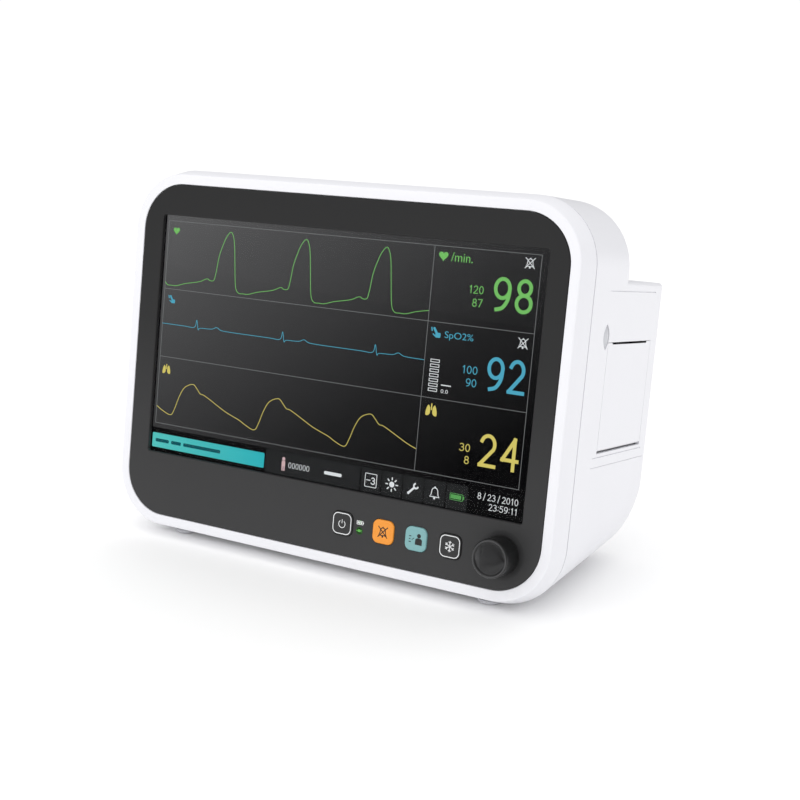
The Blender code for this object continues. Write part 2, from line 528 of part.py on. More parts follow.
def paper_drive():
    platen = along_y(PLATEN_X, PLATEN_Z)
    pivot = (PLATEN_X, 0, PLATEN_Z)
    first, last = FRONT_GEAR_Y, ARM_Y[1] + ARM_T + 1.0
    roller = turned([(PLATEN_SHAFT_R, first), (PLATEN_SHAFT_R, PAPER_Y[0]), (PLATEN_R, PAPER_Y[0]),
                     (PLATEN_R, PAPER_Y[1]), (PLATEN_SHAFT_R, PAPER_Y[1]), (PLATEN_SHAFT_R, last)], platen)
    keep("platen_roller", roller, "rubber", pivot)
    gear_end = FRONT_GEAR_Y + GEAR_T
    wheel = prism(gear(PLATEN_TEETH, 0.0), platen, FRONT_GEAR_Y, gear_end)
    cut(wheel, prism(circle(PLATEN_SHAFT_R + GAP, 12), platen, FRONT_GEAR_Y - 1, gear_end + 1))
    keep("platen_gear", wheel, "grey", pivot)

    feed = along_y(FEED_X, PLATEN_Z)
    pinion = prism(gear(FEED_TEETH, 0.5), feed, FRONT_GEAR_Y, gear_end)
    join(pinion, prism(circle(1.2, 10), feed, OPENING_Y[0] - 12, FRONT_GEAR_Y + 0.5))
    keep("feed_gear", pinion, "brass", (FEED_X, 0, PLATEN_Z))
    motor_back = OPENING_Y[0] - BAY_WALL - GAP
    motor = prism(circle(10.0, 24), feed, motor_back - 15, motor_back)
    cut(motor, prism(circle(1.6, 12), feed, motor_back - 13, motor_back + 1))
    keep("feed_motor", motor, "steel")

    head_x = PLATEN_X - PLATEN_R - GAP
    head = block((head_x - 1.6, head_x), (PAPER_Y[0] + 0.2, PAPER_Y[1] - 0.2), (PLATEN_Z - 8, PLATEN_Z + 7))
    join(head, block((head_x - 6, head_x - 1), (PAPER_Y[0] + 2, PAPER_Y[1] - 2), (PLATEN_Z - 6, PLATEN_Z + 2)))
    keep("print_head", head, "aluminium")
    middle = (PAPER_Y[0] + PAPER_Y[1]) / 2
    roll = pipe(ROLL_R, ROLL_CORE, along_y(ROLL_X, ROLL_Z), middle - ROLL_W / 2, middle + ROLL_W / 2, 32)
    keep("paper_roll", roll, "paper", (ROLL_X, 0, ROLL_Z))


def release_button():
    face = prism(lens(*RELEASE_HALF), along_x(RELEASE_Y, RELEASE_Z), BAY_X - 1.0, CASE_X + 0.4)
    flange = prism(lens(RELEASE_HALF[0] + 1.0, RELEASE_HALF[1] + 2.2), along_x(RELEASE_Y, RELEASE_Z),
                   BAY_X - RELEASE_FLANGE_T, BAY_X)
    keep("release_button", join(face, flange), "grey", (CASE_X, RELEASE_Y, RELEASE_Z))


# ---- inside ----
def chassis():
    half = PANEL_W / 2 + 2.5
    plate = rounded((-half, half), (3.0, PANEL_H - 3.3), 20.0, 3)
    frame = prism(plate, along_y(0, 0), CHASSIS_Y, CHASSIS_Y + CHASSIS_T)
    for x, z, _ in screw_places():
        cut(frame, prism(circle(SCREW_R + GAP, 12), along_y(x, z), CHASSIS_Y - 5, CHASSIS_Y + 5))
    for x in (-90, 85):
        for z in (68, 188):
            join(frame, prism(circle(2.5, 8), along_y(x, z), CHASSIS_Y + 1, CHASSIS_Y + 6))
    cut(frame, block(CABLE_OPENING[0], (CHASSIS_Y - 5, CHASSIS_Y + 5), CABLE_OPENING[1]))
    keep("chassis", frame, "steel")


def add_parts(board, parts, y):
    """Stand large components, each (x, z, width, height, depth), on a board whose back is at y."""
    for x, z, width, height, depth in parts:
        join(board, block((x, x + width), (y - 1, y + depth), (z, z + height)))


def boards():
    y = CHASSIS_Y + 6 + GAP
    across, up = MAIN_BOARD
    board = block(across, (y, y + BOARD_T), up)
    add_parts(board, MAIN_CHIPS, y + 1)
    keep("main_board", board, "board")
    (x0, x1), up = HEAT_SINK
    base = y + 1 + MAIN_CHIPS[0][4] + GAP
    fins = block((x0, x1), (base, base + 3 - GAP), up)
    for i in range(FINS):
        x = x0 + 0.5 + i * FIN_PITCH
        join(fins, block((x, x + FIN_T), (base + 2, base + 2 - GAP + FIN_H + 1), up))
    keep("heat_sink", fins, "aluminium")
    x = MEASURE_X - CASE_X
    board = block((x, x + BOARD_T), *MEASURE_BOARD)
    chip_y, chip_z, chip_t = MEASURE_CHIP
    join(board, block((x + 1, x + 1 + chip_t), chip_y, chip_z))
    keep("measurement_board", board, "board")
    across, up = SUPPLY_BOARD
    supply = block(across, (SUPPLY_Y, SUPPLY_Y + 2), up)
    add_parts(supply, SUPPLY_PARTS, SUPPLY_Y + 2)
    keep("power_supply", supply, "black")


def cuff_pump():
    (body_r, head_r), (front, middle, back) = PUMP_R, PUMP_Y
    pump = turned([(body_r, front), (body_r, middle), (head_r, middle), (head_r, back)], along_y(*PUMP_AT), 20)
    keep("cuff_pump", pump, "steel")
    valve = block(VALVE_X, VALVE_Y, VALVE_Z)
    nozzle = along_y(sum(VALVE_X) / 2, sum(VALVE_Z) / 2)
    join(valve, prism(circle(2.0, 10), nozzle, VALVE_Y[0] - 6, VALVE_Y[0] + 2))
    keep("cuff_valve", valve, "black")


def speaker():
    low = underside(CASE_Y) * math.cos(LEAN) - CASE_Y * math.sin(LEAN) + WALL + GAP
    rim_r, magnet_r = SPEAKER_R
    cone = turned([(rim_r, low), (rim_r, low + 3), (magnet_r, low + 9), (magnet_r, low + 14)],
                  upright(*SPEAKER_AT), 24)
    keep("speaker", cone, "black")


# ---- left side: patient sockets ----
def side_panel():
    panel = block((-CASE_X, -CASE_X + SIDE_PANEL_T), SIDE_PANEL_Y, SIDE_PANEL_Z)
    for _, y, z, radius, _ in (*PATIENT_SOCKETS, CUFF_PORT):
        cut(panel, prism(circle(radius + GAP), along_x(y, z), -CASE_X - 1, -CASE_X + SIDE_PANEL_T + 1))
    keep("connector_panel", panel, "grey")


def patient_sockets():
    face = -CASE_X - SOCKET_PROUD
    for name, y, z, radius, colour in PATIENT_SOCKETS:
        place = along_x(y, z)
        shell = turned([(radius, face), (radius, face + SOCKET_L)], place)
        cut(shell, turned([(radius - SOCKET_WALL, face - 1), (radius - SOCKET_WALL, face + SOCKET_L - 3)], place))
        keep(name, shell, colour)
    name, y, z, radius, colour = CUFF_PORT
    place = along_x(y, z)
    collar = turned([(radius - 1, face), (radius, face + 1), (radius, face + SOCKET_L)], place)
    cut(collar, turned([(CUFF_BORE, face - 1), (CUFF_BORE, face + 8)], place, 12))
    keep(name, collar, colour)


# ---- back: power, data, battery and mounting ----
def back_sockets():
    back = BACK_Y + 0.6
    across, up = (INLET_X - INLET_W / 2, INLET_X + INLET_W / 2), (INLET_Z - INLET_H / 2, INLET_Z + INLET_H / 2)
    inlet = block(across, (BACK_Y - 24, back), up)
    cut(inlet, block((across[0] + 1.8, across[1] - 1.8), (BACK_Y - 15, back + 1), (up[0] + 1.8, up[1] - 1.8)))
    for x, z in ((0, 2.0), (-6.5, -2.0), (6.5, -2.0)):
        x, z = INLET_X + x, INLET_Z + z
        join(inlet, block((x - 1, x + 1), (BACK_Y - 16, BACK_Y - 9), (z - 2, z + 2)))
    keep("mains_inlet", inlet, "black")
    stud = turned([(STUD_R, BACK_Y - 14), (STUD_R, BACK_Y + 6)], along_y(*STUD_AT), 12)
    join(stud, prism(circle(5.6, 6), along_y(*STUD_AT), BACK_Y + GAP, BACK_Y + 2.4))
    keep("earth_stud", stud, "brass")
    for name, (x, z, width, height) in SOCKETS.items():
        shell = block((x - width / 2, x + width / 2), (BACK_Y - 17, BACK_Y + 0.4), (z - height / 2, z + height / 2))
        cut(shell, block((x - width / 2 + 1.8, x + width / 2 - 1.8), (BACK_Y - 13, BACK_Y + 2),
                         (z - height / 2 + 1.8, z + height / 2 - 1.8)))
        keep(name, shell, "steel")


def battery():
    y1 = BACK_Y - DOOR_T - 3.0
    pack = block((-BATTERY_W / 2, BATTERY_W / 2), (y1 - BATTERY_L, y1), (BATTERY_Z, BATTERY_Z + BATTERY_H))
    keep("battery_pack", pack, "black")
    half = BATTERY_W / 2 + 4 - GAP
    hinge = along_x(*BATTERY_HINGE)
    door = block((-half, half), (BACK_Y - DOOR_T, BACK_Y), BATTERY_DOOR_Z)
    join(door, prism(circle(HINGE_R, 16), hinge, -half, half))
    cut(door, prism(circle(HINGE_PIN_R + GAP, 12), hinge, -half - 1, half + 1))
    join(door, block((-14, 14), (BACK_Y - 1, BACK_Y + 1.2), (BATTERY_DOOR_Z[1] - 5, BATTERY_DOOR_Z[1] - 2.5)))
    keep("battery_door", door, "white", (0, *BATTERY_HINGE))
    keep("battery_door_pin", prism(circle(HINGE_PIN_R, 12), hinge, -half - 2, half + 2), "steel")


def insert_places():
    for sx in (-1, 1):
        for sz in (-1, 1):
            yield sx * INSERT_PITCH / 2, PAD_Z + sz * INSERT_PITCH / 2


def foot_places():
    for near in (FOOT_NEAR, FOOT_FAR):
        for side in (-1, 1):
            yield side * FOOT_X, near


def fixings():
    for number, (x, z) in enumerate(insert_places(), 1):
        end = BACK_Y + PAD_PROUD
        insert = pipe(INSERT_R, INSERT_BORE, along_y(x, z), BACK_Y - INSERT_L + GAP, end, 12)
        keep(f"mount_insert_{number}", insert, "brass")
    for number, (x, z, back) in enumerate(screw_places(), 1):
        head = back - SCREW_HEAD_T - 0.3
        screw = turned([(SCREW_R, LEDGE_BACK + 2.5), (SCREW_R, head), (SCREW_HEAD_R, head),
                        (SCREW_HEAD_R, head + SCREW_HEAD_T)], along_y(x, z), 12)
        cut(screw, prism(circle(1.5, 6), along_y(x, z), head + 0.8, back + 1))
        keep(f"housing_screw_{number}", screw, "steel")
    for number, (x, near) in enumerate(foot_places(), 1):
        base = underside(CASE_Y) * math.cos(LEAN) - CASE_Y * math.sin(LEAN)
        inner = base + WALL
        foot = turned([(FOOT_R - 1, base - FOOT_H - GAP), (FOOT_R, base - FOOT_H + 0.6), (FOOT_R, base - GAP),
                       (2.5, base - GAP), (2.5, inner + GAP), (3.9, inner + GAP), (2.6, inner + 2.4)],
                      upright(x, near), 20)
        keep(f"foot_{number}", foot, "pale")


def stand_up():
    """Lean everything back, and set the base's centre on the origin."""
    root = bpy.data.objects.new("monitor", None)
    bpy.context.collection.objects.link(root)
    root.rotation_euler = (-LEAN, 0, 0)
    for piece in pieces:
        piece.parent = root
    bpy.context.view_layer.update()
    points = [piece.matrix_world @ vertex.co for piece in pieces for vertex in piece.data.vertices]
    low = [min(point[i] for point in points) for i in range(3)]
    high = [max(point[i] for point in points) for i in range(3)]
    root.location = (-(low[0] + high[0]) / 2, -(low[1] + high[1]) / 2, -low[2])


def main():
    for old in list(bpy.data.objects):
        bpy.data.objects.remove(old)
    for make in (rear_housing, front_frame, frame_seal, front_bezel, screen, keys, key_board, encoder,
                 recorder_frame, recorder_door, paper_drive, release_button, chassis, boards, cuff_pump,
                 speaker, side_panel, patient_sockets, back_sockets, battery, fixings):
        make()
    stand_up()


main()
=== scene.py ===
"""The looks of a bedside patient monitor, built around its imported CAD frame.

Everything is laid out in millimetres in the monitor's own axes: x to the right along the face,
y back from the face, z up along the face. PLACE leans that onto the frame.
"""
import json
import math

import bmesh
import bpy
from mathutils import Matrix, Vector


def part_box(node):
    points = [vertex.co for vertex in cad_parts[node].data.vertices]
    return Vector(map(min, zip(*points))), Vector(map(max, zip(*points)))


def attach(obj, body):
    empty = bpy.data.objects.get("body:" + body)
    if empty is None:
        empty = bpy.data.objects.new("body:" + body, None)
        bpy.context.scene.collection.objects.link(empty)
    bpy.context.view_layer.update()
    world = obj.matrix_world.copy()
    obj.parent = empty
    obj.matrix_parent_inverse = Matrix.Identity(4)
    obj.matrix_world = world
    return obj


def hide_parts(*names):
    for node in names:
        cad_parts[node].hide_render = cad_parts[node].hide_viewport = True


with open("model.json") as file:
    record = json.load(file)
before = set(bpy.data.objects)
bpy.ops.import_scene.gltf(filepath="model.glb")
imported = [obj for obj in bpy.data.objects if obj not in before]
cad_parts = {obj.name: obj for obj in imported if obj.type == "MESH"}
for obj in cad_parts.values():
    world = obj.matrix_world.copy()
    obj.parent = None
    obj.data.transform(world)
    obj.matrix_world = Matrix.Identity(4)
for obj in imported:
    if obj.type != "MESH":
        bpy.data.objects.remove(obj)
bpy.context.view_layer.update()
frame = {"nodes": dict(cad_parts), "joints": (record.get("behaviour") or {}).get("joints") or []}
MM = 0.001

# ---- face and screen ----
PANEL_W, PANEL_H, PANEL_R, PANEL_T = 300.0, 214.3, 29.0, 2.4
RING_FLAT, RING_FLARE, RING_DEPTH, RING_WALL = 5.6, 10.0, 13.6, 2.8
WINDOW_X, WINDOW_Z = (-135.0, 137.0), (40.5, 194.5)
PICTURE_SCALE, PICTURE_X, PICTURE_Z = 1.006, -2.7, -1.2
GRID_X, GRID_Z = (-130.0, 65.5, 133.0), (59.8, 103.5, 147.5, 191.0)
CELLS_X = (29.5, 44.0, 58.5, 73.0, 87.5, 102.0)
BANNER_X, BANNER_Z = (-131.5, -41.5), (43.8, 53.2)
# ---- keys, knob and recorder ----
KEY_HALF, KEY_R, LIGHT_R = 7.2, 4.0, 1.3
KNOB_X, KNOB_Z = 126.0, 21.0
DISH_R, DISH_DEPTH, DISH_BOSS_R = 14.0, 2.0, 12.0
DOOR_T, BARREL_R, PIN_BORE_R = 2.4, 2.0, 1.1
RELEASE_HALF = (4.0, 6.5)
# ---- housing ----
CASE_X, CASE_TOP, CASE_R = PANEL_W / 2 + RING_FLARE, PANEL_H + RING_FLARE, PANEL_R + RING_FLARE
CASE_Y, WALL, GAP = RING_DEPTH + 0.8, 2.5, 0.3
SHOULDER_Y, SHOULDER_FILLET = 70.0, 8.0
STEP_Z, STEP_R, BACK_Y, BACK_FILLET, HEEL_R = 180.0, 2.5, 125.0, 3.5, 22.0
SHOULDER_FLOOR = 156.0
PAD_SIZE, PAD_PROUD = 96.0, 1.2
VENTS, VENT_X, VENT_PITCH, VENT_W, VENT_Z = 9, 66.0, 8.0, 3.2, (112.0, 160.0)
GROOVES = ((38.8, 111.7, 174.3, 0.5), (37.1, 114.4, 78.2, 0.5), (35.5, 119.6, 72.4, 0.25))
# ---- studio ----
WORLD_LIGHT, WORLD_GLOSS = 1.03, 0.3
CAMERA_AT, CAMERA_AIM = (450.4, -698.1, 194.5), (51.6, -0.0, 99.4)
CAMERA_LENS, CAMERA_SENSOR = 62.24, 36.0


# ---- the monitor's axes on the frame ----
def device_axes():
    """The knob's axis is the y axis, and its joint lies on the face, so they place the axes."""
    joints = {joint["name"]: joint for joint in frame["joints"]}
    axis = Vector(joints["knob_turn"]["axis"])
    lean = math.atan2(-axis.z, axis.y)
    turn = Matrix.Rotation(-lean, 4, "X")
    hinge = Vector(joints["recorder_door_swing"]["pos_m"])
    knob = Vector(joints["knob_turn"]["pos_m"])
    apart = turn.inverted() @ (hinge - knob)
    assert abs(apart.x / MM + KNOB_X - CASE_X) < 4
    origin = knob - turn @ Vector((KNOB_X, 0.0, KNOB_Z)) * MM
    return Matrix.Translation(origin) @ turn, lean


PLACE, LEAN = device_axes()


def extent(node):
    """A CAD node's lowest and highest corners in the monitor's axes, in millimetres."""
    inverse = PLACE.inverted()
    points = [inverse @ vertex.co / MM for vertex in frame["nodes"][node].data.vertices]
    low = Vector([min(point[i] for point in points) for i in range(3)])
    high = Vector([max(point[i] for point in points) for i in range(3)])
    return low, high


def middle(node):
    low, high = extent(node)
    return (low + high) / 2


# ---- places: local (u, v) and a distance t along an axis ----
def along_x(y, z):
    return lambda u, v, t: (t, y + u, z + v)


def along_y(x=0.0, z=0.0):
    return lambda u, v, t: (x + u, t, z + v)


def along_z(x=0.0, y=0.0):
    return lambda u, v, t: (x + u, y + v, t)


def picture(u, v, t):
    """The picture's own axes: a little larger than the window's, and a little to its left."""
    return u * PICTURE_SCALE + PICTURE_X, t, v * PICTURE_SCALE + PICTURE_Z


def upright(x, level_y):
    """An axis square to the floor, under the leaning monitor."""
    sine, cosine = math.sin(LEAN), math.cos(LEAN)
    return lambda u, v, t: (x + u, (level_y + v) * cosine - t * sine, (level_y + v) * sine + t * cosine)


# ---- outlines ----
def circle(radius, steps=32, centre=(0.0, 0.0)):
    angles = [2 * math.pi * i / steps for i in range(steps)]
    return [(centre[0] + radius * math.cos(a), centre[1] + radius * math.sin(a)) for a in angles]


def arc(centre, radius, start, end, steps=12):
    """Points on an arc, with its angles in degrees."""
    angles = [math.radians(start + (end - start) * i / steps) for i in range(steps + 1)]
    return [(centre[0] + radius * math.cos(a), centre[1] + radius * math.sin(a)) for a in angles]


def rounded(u_range, v_range, radii, steps=16):
    (u0, u1), (v0, v1) = u_range, v_range
    if not isinstance(radii, tuple):
        radii = (radii,) * 4
    corners = ((u0, v0, 1, 1), (u1, v0, -1, 1), (u1, v1, -1, -1), (u0, v1, 1, -1))
    points = []
    for turn, (radius, (u, v, su, sv)) in enumerate(zip(radii, corners)):
        centre = (u + su * radius, v + sv * radius)
        points += arc(centre, radius, 180 + 90 * turn, 270 + 90 * turn, steps)
    return points


def square(centre, half, radius, steps=6):
    """A round-cornered rectangle about a centre; half is one half size or a pair."""
    half_u, half_v = half if isinstance(half, tuple) else (half, half)
    u, v = centre
    return rounded((u - half_u, u + half_u), (v - half_v, v + half_v), radius, steps)


def face_outline(outset, steps=24):
    half = PANEL_W / 2 + outset
    return rounded((-half, half), (-outset, PANEL_H + outset), PANEL_R + outset, steps)


def lens(half_width, half_height, steps=14):
    rise = [half_height * (2 * i / steps - 1) for i in range(steps)]
    right = [(half_width * (1 - (z / half_height) ** 2), z) for z in rise]
    return right + [(-u, -v) for u, v in right]


def eased(points, steps=6):
    """A smooth line through the points."""
    line = []
    ends = [points[0]] + list(points) + [points[-1]]
    for a, b, c, d in zip(ends, ends[1:], ends[2:], ends[3:]):
        for step in range(steps):
            t = step / steps
            weights = (-t + 2 * t ** 2 - t ** 3, 2 - 5 * t ** 2 + 3 * t ** 3, t + 4 * t ** 2 - 3 * t ** 3,
                       t ** 3 - t ** 2)
            line.append(tuple(sum(w * p[i] for w, p in zip(weights, (a, b, c, d))) / 2 for i in (0, 1)))
    return line + [points[-1]]


# ---- solids ----
def thing_of(mesh):
    bmesh.ops.recalc_face_normals(mesh, faces=mesh.faces)
    data = bpy.data.meshes.new("shape")
    mesh.to_mesh(data)
    mesh.free()
    thing = bpy.data.objects.new("shape", data)
    bpy.context.collection.objects.link(thing)
    return thing


def skin(mesh, rings, capped=True):
    rows = [[mesh.verts.new(Vector(point) * MM) for point in ring] for ring in rings]
    pairs = list(zip(rows, rows[1:])) + ([] if capped else [(rows[-1], rows[0])])
    for first, second in pairs:
        for i in range(len(first)):
            j = (i + 1) % len(first)
            mesh.faces.new((first[i], first[j], second[j], second[i]))
    if capped:
        mesh.faces.new(rows[0])
        mesh.faces.new(rows[-1])


def loft(rings, capped=True):
    mesh = bmesh.new()
    skin(mesh, rings, capped)
    return thing_of(mesh)


def prism(outline, place, low, high):
    return loft([[place(u, v, t) for u, v in outline] for t in (low, high)])


def rod(radius, place, low, high, steps=32):
    return prism(circle(radius, steps), place, low, high)


def faced(rings, capped=True):
    """A skin over outlines in x and z, each with its depth y."""
    return loft([[(x, y, z) for x, z in outline] for outline, y in rings], capped)


def block(x_range, y_range, z_range):
    outline = [(x_range[i], y_range[j]) for i, j in ((0, 0), (1, 0), (1, 1), (0, 1))]
    return prism(outline, along_z(), *z_range)


def turned(profile, place, steps=48, capped=True):
    return loft([[place(u, v, t) for u, v in circle(radius, steps)] for radius, t in profile], capped)


def combine(base, tools, operation):
    for tool in tools:
        change = base.modifiers.new("boolean", "BOOLEAN")
        change.operation, change.object, change.solver = operation, tool, "EXACT"
        bpy.context.view_layer.update()
        shaped = base.evaluated_get(bpy.context.evaluated_depsgraph_get())
        result = bpy.data.meshes.new_from_object(shaped)
        base.modifiers.clear()
        base.data = result
        bpy.data.objects.remove(tool)
    return base


def join(base, *tools):
    return combine(base, tools, "UNION")


def cut(base, *tools):
    return combine(base, tools, "DIFFERENCE")


def gather(things):
    """Several solids in one piece, as a cluster of small parts is."""
    mesh = bmesh.new()
    for thing in things:
        mesh.from_mesh(thing.data)
        bpy.data.objects.remove(thing)
    return thing_of(mesh)


def soften(thing, width, segments=2, angle=32):
    """A small radius on every sharp edge, as a moulded or machined part has."""
    bevel = thing.modifiers.new("edge radius", "BEVEL")
    bevel.width, bevel.segments = width * MM, segments
    bevel.limit_method, bevel.angle_limit = "ANGLE", math.radians(angle)
    bevel.use_clamp_overlap = True
    bevel.miter_outer = "MITER_ARC"
    even = thing.modifiers.new("even shading", "WEIGHTED_NORMAL")
    even.keep_sharp = True
    return thing


# ---- materials ----
def srgb(*levels):
    """A linear colour from 0-255 screen levels."""
    values = [level / 255 for level in levels]
    return tuple(v / 12.92 if v <= 0.04045 else ((v + 0.055) / 1.055) ** 2.4 for v in values)


class Surface:
    """A material being built: its node tree, its shader and the object's own coordinates."""

    def __init__(self, name, roughness=0.4, metallic=0.0):
        self.material = bpy.data.materials.new(name)
        self.material.use_nodes = True
        self.tree = self.material.node_tree
        self.shader = self.tree.nodes["Principled BSDF"]
        self.set("Roughness", roughness)
        self.set("Metallic", metallic)
        self.where = self.add("ShaderNodeTexCoord").outputs["Object"]

    def add(self, kind, **settings):
        node = self.tree.nodes.new(kind)
        for key, value in settings.items():
            setattr(node, key, value)
        return node

    def link(self, output, target):
        self.tree.links.new(output, target)
        return output

    def set(self, socket, value):
        self.shader.inputs[socket].default_value = value

    def noise(self, scale, detail=3.0, stretch=None, distortion=0.0):
        """Noise with scale cells to the metre, drawn out along an axis by stretch."""
        node = self.add("ShaderNodeTexNoise")
        node.inputs["Scale"].default_value = scale
        node.inputs["Detail"].default_value = detail
        node.inputs["Distortion"].default_value = distortion
        where = self.where
        if stretch:
            mapping = self.add("ShaderNodeMapping")
            mapping.inputs["Scale"].default_value = stretch
            self.link(self.where, mapping.inputs["Vector"])
            where = mapping.outputs["Vector"]
        self.link(where, node.inputs["Vector"])
        return node.outputs["Fac"]

    def ramp(self, source, stops):
        """Colours or greys along a 0-1 source, as (position, colour)."""
        node = self.add("ShaderNodeValToRGB")
        elements = node.color_ramp.elements
        while len(elements) < len(stops):
            elements.new(0.5)
        for element, (position, colour) in zip(elements, stops):
            element.position = position
            element.color = (*colour, 1) if isinstance(colour, tuple) else (colour, colour, colour, 1)
        self.link(source, node.inputs["Fac"])
        return node.outputs["Color"]

    def mix(self, share, first, second, how="MIX"):
        node = self.add("ShaderNodeMix", data_type="RGBA", blend_type=how)
        sockets = node.inputs["Factor"], node.inputs[6], node.inputs[7]
        for value, socket in zip((share, first, second), sockets):
            if isinstance(value, bpy.types.NodeSocket):
                self.link(value, socket)
            else:
                socket.default_value = value if socket.type == "VALUE" else (*value, 1)
        return node.outputs[2]

    def span(self, source, low, high):
        node = self.add("ShaderNodeMapRange")
        node.inputs["To Min"].default_value = low
        node.inputs["To Max"].default_value = high
        self.link(source, node.inputs["Value"])
        return node.outputs["Result"]

    def graded(self, axis, low, high):
        """A share from 0 to 1 between two places on an axis, in metres."""
        split = self.add("ShaderNodeSeparateXYZ")
        self.link(self.where, split.inputs["Vector"])
        span = self.add("ShaderNodeMapRange")
        span.inputs["From Min"].default_value = low
        span.inputs["From Max"].default_value = high
        self.link(split.outputs[axis], span.inputs["Value"])
        return span.outputs["Result"]

    def bump(self, source, height, strength=1.0):
        """Relief of height millimetres."""
        node = self.add("ShaderNodeBump")
        node.inputs["Distance"].default_value = height * MM
        node.inputs["Strength"].default_value = strength
        self.link(source, node.inputs["Height"])
        self.link(node.outputs["Normal"], self.shader.inputs["Normal"])

    def paint(self, colour):
        self.link(colour, self.shader.inputs["Base Color"])


def moulded(name, colour, roughness, tint=0.03, texture=2600.0, relief=0.012, edge=0.0):
    """Moulded plastic: fine spark texture, faint flow in its colour, and edges lightened a little, as rubbed
    wear and, on the knob, a painted highlight.
    """
    surface = Surface(name, roughness)
    flow = surface.noise(14.0, 2.0, distortion=0.6)
    darker = tuple(c * (1 - tint) for c in colour)
    shade = surface.mix(flow, darker, tuple(min(1.0, c * (1 + tint * 0.5)) for c in colour))
    if edge:
        # Edges lightened by pointiness: a little rubbed wear, and on the knob a painted highlight along its
        # rim.
        pointiness = surface.add("ShaderNodeNewGeometry").outputs["Pointiness"]
        wear_and_highlight = surface.ramp(pointiness, ((0.52, 0.0), (0.6, edge)))
        shade = surface.mix(wear_and_highlight, shade, tuple(min(1.0, c * 1.8 + 0.02) for c in colour))
    surface.paint(shade)
    grain = surface.noise(texture, 2.0)
    surface.link(surface.span(grain, roughness - 0.05, roughness + 0.06), surface.shader.inputs["Roughness"])
    surface.bump(grain, relief, 0.5)
    return surface


def metal(name, colour, roughness, stretch=(1.0, 1.0, 24.0), scale=900.0):
    """Drawn or turned metal, with fine lines and uneven polish."""
    surface = Surface(name, roughness, 1.0)
    lines = surface.noise(scale, 2.0, stretch)
    patches = surface.noise(40.0, 3.0)
    surface.paint(surface.mix(patches, tuple(c * 0.88 for c in colour), colour))
    surface.link(surface.span(lines, roughness * 0.75, roughness * 1.3), surface.shader.inputs["Roughness"])
    surface.bump(lines, 0.004, 0.6)
    return surface


def panel_surface():
    """The face panel: charcoal with a spark texture, and painted shading: paler towards the keys at the
    bottom, darker towards the top.
    """
    surface = Surface("charcoal panel with painted shading", 0.46)
    bottom, top = (PLACE @ (Vector((0, 0, z)) * MM) for z in (0.0, PANEL_H))
    flow = surface.mix(surface.noise(9.0, 2.0, distortion=0.5), (0.93, 0.93, 0.93), (1.0, 1.0, 1.0))
    # Painted shading: the floor's reflection paler at the bottom, darker shade towards the top.
    painted_shading = surface.ramp(surface.graded("Z", bottom.z, top.z),
                        ((0.0, (0.041, 0.041, 0.042)), (0.3, (0.033, 0.033, 0.034)),
                         (0.6, (0.020, 0.020, 0.0205)), (1.0, (0.016, 0.016, 0.0165))))
    surface.paint(surface.mix(1.0, painted_shading, flow, "MULTIPLY"))
    grain = surface.noise(3000.0, 2.0)
    surface.link(surface.span(grain, 0.42, 0.52), surface.shader.inputs["Roughness"])
    surface.set("Specular IOR Level", 0.25)
    surface.bump(grain, 0.012, 0.5)
    return surface


def banner_surface():
    """The lit banner, greener at its left end and bluer at its right."""
    surface = lit("lit banner", srgb(84, 202, 207))
    ends = (BANNER_X[0] + PICTURE_X) * MM, (BANNER_X[1] + PICTURE_X) * MM
    shade = surface.ramp(surface.graded("X", *ends), ((0.0, srgb(84, 192, 187)), (1.0, srgb(46, 174, 182))))
    surface.link(shade, surface.shader.inputs["Emission Color"])
    return surface


def lit(name, colour):
    """A lit part of the display, with the faint rows of its pixels."""
    surface = Surface(name, 0.5)
    surface.set("Base Color", (0.004, 0.004, 0.004, 1))
    surface.set("Specular IOR Level", 0.0)
    rows = surface.noise(1800.0, 0.0, (1.0, 1.0, 0.05))
    shade = surface.mix(rows, tuple(c * 0.94 for c in colour), colour)
    surface.link(shade, surface.shader.inputs["Emission Color"])
    surface.set("Emission Strength", 1.0)
    return surface


def display_surface():
    """The dark display with a painted reflection: grey at its upper left, nearly black at its lower right."""
    surface = Surface("display image with painted reflection", 0.4)
    surface.set("Base Color", (0.004, 0.004, 0.004, 1))
    surface.set("Specular IOR Level", 0.0)
    upper, lower = (PLACE @ (Vector((0, 0, z)) * MM) for z in reversed(WINDOW_Z))
    across = surface.graded("X", WINDOW_X[0] * MM, WINDOW_X[1] * MM)
    down = surface.graded("Z", upper.z, lower.z)
    share = surface.add("ShaderNodeMix", data_type="FLOAT")
    share.inputs["Factor"].default_value = 0.45
    surface.link(across, share.inputs[2])
    surface.link(down, share.inputs[3])
    # Painted reflection: the grey haze of the surroundings in the cover glass, glowing from the display.
    reflection_greys = ((0.0, 90), (0.2, 74), (0.35, 61), (0.5, 46), (0.63, 30), (0.72, 22), (0.85, 4), (1.0, 2))
    shade = surface.ramp(share.outputs[0], [(place, srgb(grey, grey, grey + 1)) for place, grey in reflection_greys])
    surface.link(shade, surface.shader.inputs["Emission Color"])
    surface.set("Emission Strength", 1.0)
    return surface


def glass_surface():
    """Coated cover glass: clear, with only a faint reflection and a trace of unevenness."""
    surface = Surface("cover glass", 0.02)
    surface.set("Transmission Weight", 1.0)
    surface.set("IOR", 1.08)
    surface.set("Roughness", 0.0)
    surface.paint(surface.mix(surface.noise(30.0, 2.0), (0.975, 0.98, 0.98), (1.0, 1.0, 1.0)))
    return surface


